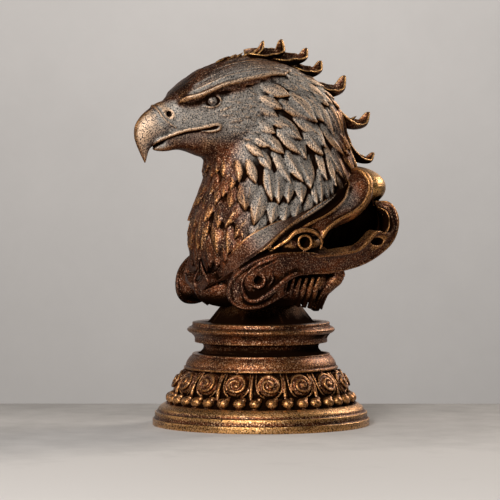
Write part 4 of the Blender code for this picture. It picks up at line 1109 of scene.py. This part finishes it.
def give_tones(mesh, kind):
    """How much painted grey sheen, painted gold light and painted shade each place of the bust carries."""
    crest = kind == "swept_crest"
    head = kind == "feathered_head"
    points = in_shares(mesh)
    normals = eased(normals_of(mesh), edges_of(mesh), 4)
    x, y, z = np.abs(points[:, 0]), points[:, 1], points[:, 2]
    folded = np.stack([x, y, z], axis=1)
    border = np.interp(z, FOREHEAD_BORDER[0], FOREHEAD_BORDER[1])
    forehead = falling(y, border, 1.5) * rising(z, 76.0, 0.8)
    brow_shadow = np.zeros(len(points))
    crease_shadow = np.zeros(len(points))
    # Painted shadow under the brow's edge and painted shade along the face's creases, on the head alone
    if head:
        face = np.flatnonzero((y < -8.0) & (z > 70.0))
        brow_shadow[face] = near_line(folded[face], on_head(BROW_SHADOW_LINE, 0.2, 40), BROW_SHADOW_REACH)
        face = np.flatnonzero((y < -18.0) & (z > 56.0))
        crease_shadow[face] = crease_shadows(folded[face])
    painted_light_share = 0.0 if crest else 1.0
    give_values(mesh, "painted_sheen", painted_grey_sheen(x, y, z, normals) * painted_light_share * (1.0 - forehead) * (1.0 - brow_shadow))
    # Painted gold light on the upward faces of the hump at the back
    lobe = rising(y, 31.0, 5.0) * rising(z, 38.0, 4.0)
    give_values(mesh, "painted_gold_light", lobe * held(normals[:, 2] + 0.9) * painted_light_share)
    # Painted shade on the faces that turn downwards low on the bust
    underside_shade = falling(z, 9.0, 5.0) * held(-normals[:, 2] * 2.0)
    # Painted shade gathered in one value: inside the open scroll, on low undersides, under the brow and
    # along the creases
    painted_shade = np.maximum(scroll_pocket_shade(points, normals, head), underside_shade)
    painted_shade = np.maximum(np.maximum(painted_shade, brow_shadow * 0.42), crease_shadow * 0.85)
    give_values(mesh, "painted_shade", held(painted_shade))
    scrolls = falling(z, 22.5, 2.0) * (0.45 + 0.35 * falling(y, 6.0, 8.0))
    front = 0.35 * falling(y, -13.0, 4.0) * falling(z, 64.0, 4.0)
    dull = np.maximum(np.maximum(scrolls, front), forehead * 0.5)
    eyeball = np.hypot(y - EYE_CENTRE[1], z - EYE_CENTRE[2]) < EYE_RADIUS
    dull = np.where(eyeball & (x > SIDE_START), 0.7, dull) - (0.3 if crest else 0.0)
    lessen_wear(mesh, dull)
    # Gold rather than copper on rubbed edges: painted gold light on the crest's rims and the hump, a little
    # everywhere else
    rim_gold_wear_and_light = np.full(len(points), 0.9) if crest else np.maximum(lobe, 0.3 - scrolls * 0.4)
    give_values(mesh, "rim_gold_wear_and_light", rim_gold_wear_and_light)


def give_vanes(mesh, vanes):
    """Carry the measures along and across each feather or band to the skin over it."""
    tree = KDTree(len(vanes))
    for index, vane in enumerate(vanes):
        tree.insert(vane[2], index)
    tree.balance()
    points = in_shares(mesh)
    points[:, 0] = np.abs(points[:, 0])
    found, away = np.zeros(len(points), int), np.zeros(len(points))
    for index, point in enumerate(points):
        _, found[index], away[index] = tree.find(point)
    along, across, spots, lies, sides = (np.array([vane[k] for vane in vanes])[found] for k in range(5))
    shift = points - spots
    near = away < 1.2
    give_values(mesh, "along", np.where(near, along + (shift * lies).sum(axis=1), 0.0))
    give_values(mesh, "across", np.where(near, across + (shift * sides).sum(axis=1), 0.0))
    give_values(mesh, "bare", np.where(near, 0.0, 1.0))


class Wire:
    """A socket that can be used in sums."""

    def __init__(self, finish, socket):
        self.finish = finish
        self.socket = socket

    def sum_with(self, operation, other, swapped=False):
        pair = [other, self] if swapped else [self, other]
        return self.finish.node("ShaderNodeMath", {"operation": operation}, {0: pair[0], 1: pair[1]})

    def __add__(self, other):
        return self.sum_with("ADD", other)

    def __sub__(self, other):
        return self.sum_with("SUBTRACT", other)

    def __mul__(self, other):
        return self.sum_with("MULTIPLY", other)

    def __rsub__(self, other):
        return self.sum_with("SUBTRACT", other, True)

    __radd__ = __add__
    __rmul__ = __mul__

    def held(self):
        """The value kept between 0 and 1."""
        return self.finish.node("ShaderNodeClamp", {}, {"Value": self})


class Finish:
    """A material whose looks are worked out by nodes."""

    def __init__(self, name):
        self.material = bpy.data.materials.new(name)
        self.material.use_nodes = True
        self.tree = self.material.node_tree
        self.shader = self.tree.nodes["Principled BSDF"]

    def node(self, kind, settings, inputs, output=0):
        made = self.tree.nodes.new(kind)
        for key, value in settings.items():
            setattr(made, key, value)
        for key, value in inputs.items():
            self.feed(made.inputs[key], value)
        return Wire(self, made.outputs[output])

    def feed(self, socket, value):
        if isinstance(value, Wire):
            self.tree.links.new(value.socket, socket)
        elif isinstance(value, tuple) and len(value) == 3 and socket.type == "RGBA":
            socket.default_value = (*value, 1.0)
        else:
            socket.default_value = value

    def put(self, name, value):
        """Set an input of the shader, or wire it."""
        self.feed(self.shader.inputs[name], value)

    def attribute(self, name):
        return self.node("ShaderNodeAttribute", {"attribute_name": name}, {}, 2)

    def place(self):
        return self.node("ShaderNodeTexCoord", {}, {}, 3)

    def noise(self, scale, detail, roughness, stretch=(1.0, 1.0, 1.0)):
        spot = self.node("ShaderNodeVectorMath", {"operation": "MULTIPLY"}, {0: self.place(), 1: stretch})
        inputs = {"Vector": spot, "Scale": scale, "Detail": detail, "Roughness": roughness}
        return self.node("ShaderNodeTexNoise", {}, inputs)

    def blend(self, factor, colour_a, colour_b):
        return self.node("ShaderNodeMix", {"data_type": "RGBA"}, {0: factor, 6: colour_a, 7: colour_b}, 2)


def grain_relief(finish, vanes):
    """The fine cast grain with faint level lines and the streaks of the feathers, as a bump."""
    fine = finish.noise(2300.0, 2.0, 0.65)
    lines = finish.noise(800.0, 1.0, 0.5, (0.4, 0.4, 3.6))
    relief = fine * 0.6 + lines * 0.5
    if vanes:
        across = finish.attribute("across")
        along = finish.attribute("along")
        side = finish.node("ShaderNodeMath", {"operation": "ABSOLUTE"}, {0: across})
        barbs = finish.node("ShaderNodeMath", {"operation": "SINE"}, {0: side * 7.0 - along * 4.6})
        strokes = finish.noise(900.0, 2.0, 0.6, (1.0, 0.22, 1.0))
        bare = finish.attribute("bare")
        relief = relief + barbs * 0.20 * (1 - bare) + strokes * 1.1 * bare
    return finish.node("ShaderNodeBump", {}, {"Strength": 0.8, "Distance": 0.00026, "Height": relief})


def antique(name, look, bust):
    """Antique bronze: black in the hollows as patina and painted shade, brown in the fields, copper to gold
    where it is rubbed, the gold partly painted light, with painted glints and, on the bust, a painted grey
    sheen.
    """
    finish = Finish(name)
    worn = finish.attribute("worn")
    hollow = finish.attribute("hollow")
    shade = finish.attribute("shade")
    rim_gold_wear_and_light = finish.attribute("rim_gold_wear_and_light")
    speck = finish.noise(1500.0, 1.5, 0.6)
    patch = finish.noise(95.0, 3.0, 0.6)
    body = finish.blend(((patch - 0.5) * 2.6 + look["fields"]).held(), BROWN, RUSSET)
    # Colour of rubbed edges: copper, turning gold where painted light falls
    edge = finish.blend(rim_gold_wear_and_light, COPPER, RUBBED_AND_LIT_GOLD)
    # How dark each place is: patina and painted shade where the skin curves in, painted shade where the
    # traced shade is deep, and the painted shade values
    deep = (hollow + (shade - look["shade"]) * 2.2 + finish.attribute("painted_shade") * 1.6).held()
    painted_sheen = 0.0
    if bust:
        # Painted grey sheen where the front light would shine, with pale painted highlights on the rims
        # within it
        painted_sheen = (finish.attribute("painted_sheen") * 1.1 + (speck - 0.5) * 0.7).held()
        body = finish.blend(painted_sheen, body, SHEEN_GREY)
        # Painted gold light over the hump's body, in patches
        gold_light_mix = ((patch - 0.42) * 3.0).held() * finish.attribute("painted_gold_light") * 0.75
        body = finish.blend(gold_light_mix.held(), body, RUBBED_AND_LIT_GOLD)
        edge = finish.blend(painted_sheen * 0.55, edge, HIGHLIGHT_PALE)
    rub = (worn * look["wear"] - look["keep"] + (speck - 0.5) * 1.9).held()
    body = finish.blend(rub * look["rub"], body, edge)
    # Painted glints on the brightest specks, pale gold
    painted_glint = ((speck - look["speck"]) * 14.0).held() * look["painted_glint"]
    body = finish.blend(painted_glint, body, finish.blend(0.5, edge, HIGHLIGHT_PALE))
    pit = ((0.465 - speck) * 12.0).held() * 0.9
    body = finish.blend(pit, body, DARK)
    # Near black where the patina and painted shade are deepest
    body = finish.blend(deep, body, DARK)
    matt = painted_sheen * 0.40 - deep * 0.12
    finish.put("Base Color", body)
    finish.put("Metallic", (0.93 - matt).held())
    rough = (patch - 0.5) * 0.2 - rub * 0.1 + deep * 0.4 + painted_sheen * 0.12 + 0.42
    finish.put("Roughness", rough.held())
    finish.put("Coat Roughness", 0.36)
    finish.put("Coat Weight", (0.14 - deep * 0.4).held())
    finish.put("Normal", grain_relief(finish, bust))
    # A dark matt shader mixed in where the painted shade is deepest
    painted_shade_shader = finish.node("ShaderNodeBsdfDiffuse", {}, {"Color": DARK})
    metal = Wire(finish, finish.shader.outputs[0])
    with_painted_shade = finish.node("ShaderNodeMixShader", {}, {0: (deep * 1.3 - 0.35).held(), 1: metal, 2: painted_shade_shader})
    finish.feed(finish.tree.nodes["Material Output"].inputs["Surface"], with_painted_shade)
    return finish.material


def add_piece(name, mesh, material, node):
    """A finished piece that stands for a node of the frame."""
    piece = placed(name, mesh)
    mesh.materials.clear()
    mesh.materials.append(material)
    mesh.shade_smooth()
    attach(piece, "root")
    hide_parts(node)
    return piece


def make_bust():
    """The eagle with its crest and shawl, in three castings that overlap."""
    core = Shells()
    add_core(core)
    form = core_form(fused(core.mesh("core", bust_place), CORE_CELL))
    head = Shells()
    head.add(form[0], form[1])
    add_beak(head)
    add_brow_and_eye(head)
    vanes = add_feathers(head, form)
    head_skin = fused(head.mesh("head", bust_place), HEAD_CELL)
    dent(head_skin, NOSTRIL, (3.0, 1.0, 1.15), 2.6)
    crest = Shells()
    add_crest(crest)
    crest_skin = fused(crest.mesh("crest", bust_place), CREST_CELL, False)
    shawl = Shells()
    add_back(shawl)
    add_shawl(shawl)
    add_lower_scrolls(shawl)
    shawl_skin = fused(shawl.mesh("shawl", bust_place), SHAWL_CELL)
    dent(shawl_skin, RING_CENTRE, (5.0, 2.1, 2.1), 4.0)
    dent(shawl_skin, LOOP_EYE, (5.0, 1.5, 1.6), 3.4)
    dent(shawl_skin, SCROLL_CURL, (5.0, 3.4, 1.5), 2.6)
    skins = []
    for skin in (head_skin, crest_skin, shawl_skin):
        clear_of_cone(skin)
        within_box(skin, BUST_BOX)
        skins.append(thinned(skin, MOST_TRIANGLES))
    soften(skins[1], 2)
    weather(skins, BUST_SHADE_REACH)
    stripes = band_lines(COLLAR_INNER, COLLAR_OUTER, 0.3)
    finish = antique("antique_bronze_finish", BUST_LOOK, True)
    names = ("feathered_head", "swept_crest", "scrolled_shawl")
    for name, skin, lines in zip(names, skins, (vanes, vanes, stripes)):
        give_tones(skin, name)
        give_vanes(skin, lines)
        add_piece(name, skin, finish, "eagle_bust")


def outline_points():
    """The plinth's turned outline in millimetres, finely stepped."""
    outline, base = [], 0.0
    for height, low, high, bulge in COURSES:
        steps = max(2, int(height / 0.3))
        for k in range(steps + 1):
            t = k / steps
            outline.append((low + (high - low) * t + bulge * math.sin(math.pi * t), base + height * t))
        base += height
    return outline


def course_foot(index):
    """Height at which a course of the plinth starts, in millimetres."""
    return sum(course[0] for course in COURSES[:index])


def wrapped(shells, flat, turn, radius_at):
    """Bend shells built flat, across, up and proud, round the plinth at an angle."""
    for points in flat.points:
        reach = np.array([radius_at(h) for h in points[:, 1]]) + points[:, 2]
        angle = turn + points[:, 0] / FRIEZE_BEND
        points[:] = np.stack([reach * np.sin(angle), -reach * np.cos(angle), points[:, 1]], axis=1)
    shells.add(np.vstack(flat.points), flat.faces)


def rosette():
    """One spiral rosette on its bud, with leaves that rise beside it and a dart between, built flat."""
    flat = Shells()
    foot = course_foot(FRIEZE_COURSE)
    heart = foot + HEART_RISE
    flat.blob((0.0, heart, 0.2), BUD_RADII)
    t = np.linspace(0.0, 1.0, 100)
    angle = math.radians(SPIRAL_START) - t * 2 * math.pi * SPIRAL_TURNS
    reach = SPIRAL_REACH * (1.0 - t) ** 0.7 + 0.35
    across, up = reach * np.cos(angle), 0.6 + reach * 0.86 * np.sin(angle)
    proud = 0.7 + 2.9 * np.sqrt(np.maximum(1.0 - (across / 5.8) ** 2 - (up / 5.9) ** 2, 0.02))
    spiral = np.stack([across, heart + up, proud], axis=1)
    flat.tube(spiral, (0.35, 0.65, 0.75, 0.65, 0.55, 0.6), 9)
    flat.blob((0.0, heart + 0.7, 3.2), (0.95, 0.85, 0.8))
    for side in (-1.0, 1.0):
        leaf = [
            (side * x, foot + up, z)
            for x, up, z in ((2.2, 0.2, 1.2), (5.0, 2.2, 1.6), (6.5, 6.0, 1.2), (6.6, 11.6, 0.6))
        ]
        flat.tube(curve_through(leaf, 20), (0.3, 0.5, 0.5, 0.45, 0.35), 8)
    dart = ((8.1, foot + 11.6, 0.4), (7.8, foot + 7.4, 1.2), (7.5, foot + 3.0, 1.7), (7.7, foot - 2.0, 2.2))
    flat.tube(curve_through(dart, 20), (0.3, 0.5, 0.8, 1.1, 0.4), 8)
    return flat


def make_plinth():
    """The turned plinth with its beads and rosettes."""
    outline = np.array(outline_points())
    turn = circle(PLINTH_SIDES)
    shells = Shells()
    level = np.ones(PLINTH_SIDES)
    shells.loft([np.stack([r * np.cos(turn), r * np.sin(turn), z * level], axis=1) for r, z in outline])

    def frieze_radius(height):
        t = held((height - course_foot(FRIEZE_COURSE)) / COURSES[FRIEZE_COURSE][0])
        _, low, high, bulge = COURSES[FRIEZE_COURSE]
        return low + (high - low) * t + bulge * math.sin(math.pi * t)

    for k in range(ROSETTE_COUNT):
        wrapped(shells, rosette(), 2 * math.pi * (k + ROSETTE_PHASE) / ROSETTE_COUNT, frieze_radius)
    bead_height = course_foot(BEAD_COURSE) + COURSES[BEAD_COURSE][0] / 2
    dice = np.random.default_rng(BEAD_SEED)
    reach = sum(COURSES[BEAD_COURSE][1:3]) / 2 + BEAD_PROUD
    for k in range(BEAD_COUNT):
        angle = 2 * math.pi * (k + BEAD_PHASE + dice.uniform(-BEAD_UNEVEN, BEAD_UNEVEN)) / BEAD_COUNT
        height = bead_height + dice.uniform(-BEAD_WAVER, BEAD_WAVER)
        spot = (reach * math.sin(angle), -reach * math.cos(angle), height)
        shells.blob(spot, np.array(BEAD_RADII) * dice.uniform(0.93, 1.05), False, 12, 18)
        turned, sunk = angle + KNOB_TURN, reach - KNOB_SUNK
        knob = (sunk * math.sin(turned), -sunk * math.cos(turned), bead_height + KNOB_RISE)
        shells.blob(knob, KNOB_RADII, False, 10, 14)
    skin = thinned(fused(shells.mesh("plinth", plinth_place), PLINTH_CELL), MOST_TRIANGLES)
    within_box(skin, PLINTH_BOX)
    weather([skin], PLINTH_SHADE_REACH)
    height = points_of(skin)[:, 2] / MM
    lessen_wear(skin, 0.5 * rising(height, TORUS_FOOT, 3.0))
    # Painted shade on the plinth's waist, darkest low in it, and painted shadow on the cone under the bust
    waist_foot = course_foot(WAIST_COURSE)
    waist_shade = falling(height, waist_foot + 4.2, 2.4) * (height > waist_foot + 0.1) * 0.6
    cone_shadow = held(height - PLINTH_TOP / MM + COURSES[-1][0] + 0.3)
    give_values(skin, "painted_shade", np.maximum(cone_shadow, waist_shade))
    # Gold rather than copper on rubbed edges, most on the foot, as wear and painted highlight
    give_values(skin, "rim_gold_wear_and_light", 0.3 + 0.55 * falling(height, 14.0, 3.0))
    plinth = add_piece("turned_plinth", skin, antique("plinth_bronze_with_painted_light", PLINTH_LOOK, False), "plinth")


def plain(name, colour, roughness, mottle, painted_falloff=0.0):
    """A plain painted ground with a soft mottle, and painted shade that makes it a little darker away from
    the camera.
    """
    finish = Finish(name)
    cloud = finish.noise(9.0, 3.0, 0.6)
    grain = finish.noise(60.0, 4.0, 0.7)
    out = camera_axes()[0]
    inputs = {0: finish.place(), 1: tuple(out)}
    ahead = finish.node("ShaderNodeVectorMath", {"operation": "DOT_PRODUCT"}, inputs, 1)
    base = 0.12 if painted_falloff else 0.5
    light = ((cloud - 0.5) * 1.3 + (grain - 0.5) * 0.6 + base + (ahead + FLOOR_BEHIND) * painted_falloff).held()
    shade = finish.blend(light, tuple(c * (1 - mottle) for c in colour), colour)
    finish.put("Base Color", shade)
    finish.put("Roughness", roughness)
    return finish.material


def flat_sheet(name, corners):
    """A flat four-cornered sheet."""
    mesh = bpy.data.meshes.new(name)
    mesh.from_pydata([tuple(corner) for corner in corners], [], [(0, 1, 2, 3)])
    return placed(name, mesh)


def make_stage():
    """Pale floor that ends close behind the plinth, and a pale wall further back."""
    out, right = camera_axes()
    side, near, far = right * STAGE_HALF_WIDTH, out * FLOOR_AHEAD, -out * FLOOR_BEHIND
    floor = flat_sheet("floor", (near - side, near + side, far + side, far - side))
    floor.data.materials.append(plain("pale_ground", FLOOR_COLOUR, 0.7, 0.5, 3.0))
    back = -out * WALL_BEHIND
    low, high = (Vector((0.0, 0.0, height)) for height in WALL_HEIGHTS)
    wall = flat_sheet("wall", (back - side + low, back + side + low, back + side + high, back - side + high))
    wall.data.materials.append(plain("pale_wall", WALL_COLOUR, 0.85, 0.08))


def make_light(name, place, target, size, energy, colour):
    """A soft square light aimed at a point."""
    light = bpy.data.lights.new(name, "AREA")
    light.size = size
    light.energy = energy
    light.color = colour
    lamp = placed(name, light)
    lamp.location = place
    lamp.rotation_euler = (target - place).to_track_quat("-Z", "Y").to_euler()


def camera_axes():
    """Directions out towards the camera and to the right of its picture."""
    turn = math.radians(CAMERA_AZIMUTH)
    return Vector((math.sin(turn), -math.cos(turn), 0.0)), Vector((math.cos(turn), math.sin(turn), 0.0))


def make_camera_and_light():
    out, right = camera_axes()
    camera = placed("camera", bpy.data.cameras.new("camera"))
    camera.data.sensor_width = SENSOR_WIDTH
    camera.data.lens = CAMERA_LENS
    camera.data.clip_end = FARTHEST_SEEN
    camera.location = out * CAMERA_DISTANCE + Vector((0.0, 0.0, CAMERA_HEIGHT))
    aim = Vector((0.0, 0.0, AIM_HEIGHT)) - right * AIM_ASIDE
    camera.rotation_euler = (aim - camera.location).to_track_quat("-Z", "Y").to_euler()
    bpy.context.scene.camera = camera
    up = Vector((0.0, 0.0, 1.0))
    for name, place, aim, size, energy, colour in LIGHTS:
        spots = [out * ahead + right * aside + up * above for ahead, aside, above in (place, aim)]
        make_light(name, *spots, size, energy, colour)
    world = bpy.data.worlds.new("studio")
    bpy.context.scene.world = world
    world.use_nodes = True
    background = world.node_tree.nodes["Background"]
    background.inputs["Color"].default_value = SURROUND_COLOUR
    background.inputs["Strength"].default_value = SURROUND_STRENGTH
    bpy.context.scene.view_settings.view_transform = "Standard"


make_bust()
make_plinth()
make_stage()
make_camera_and_light()
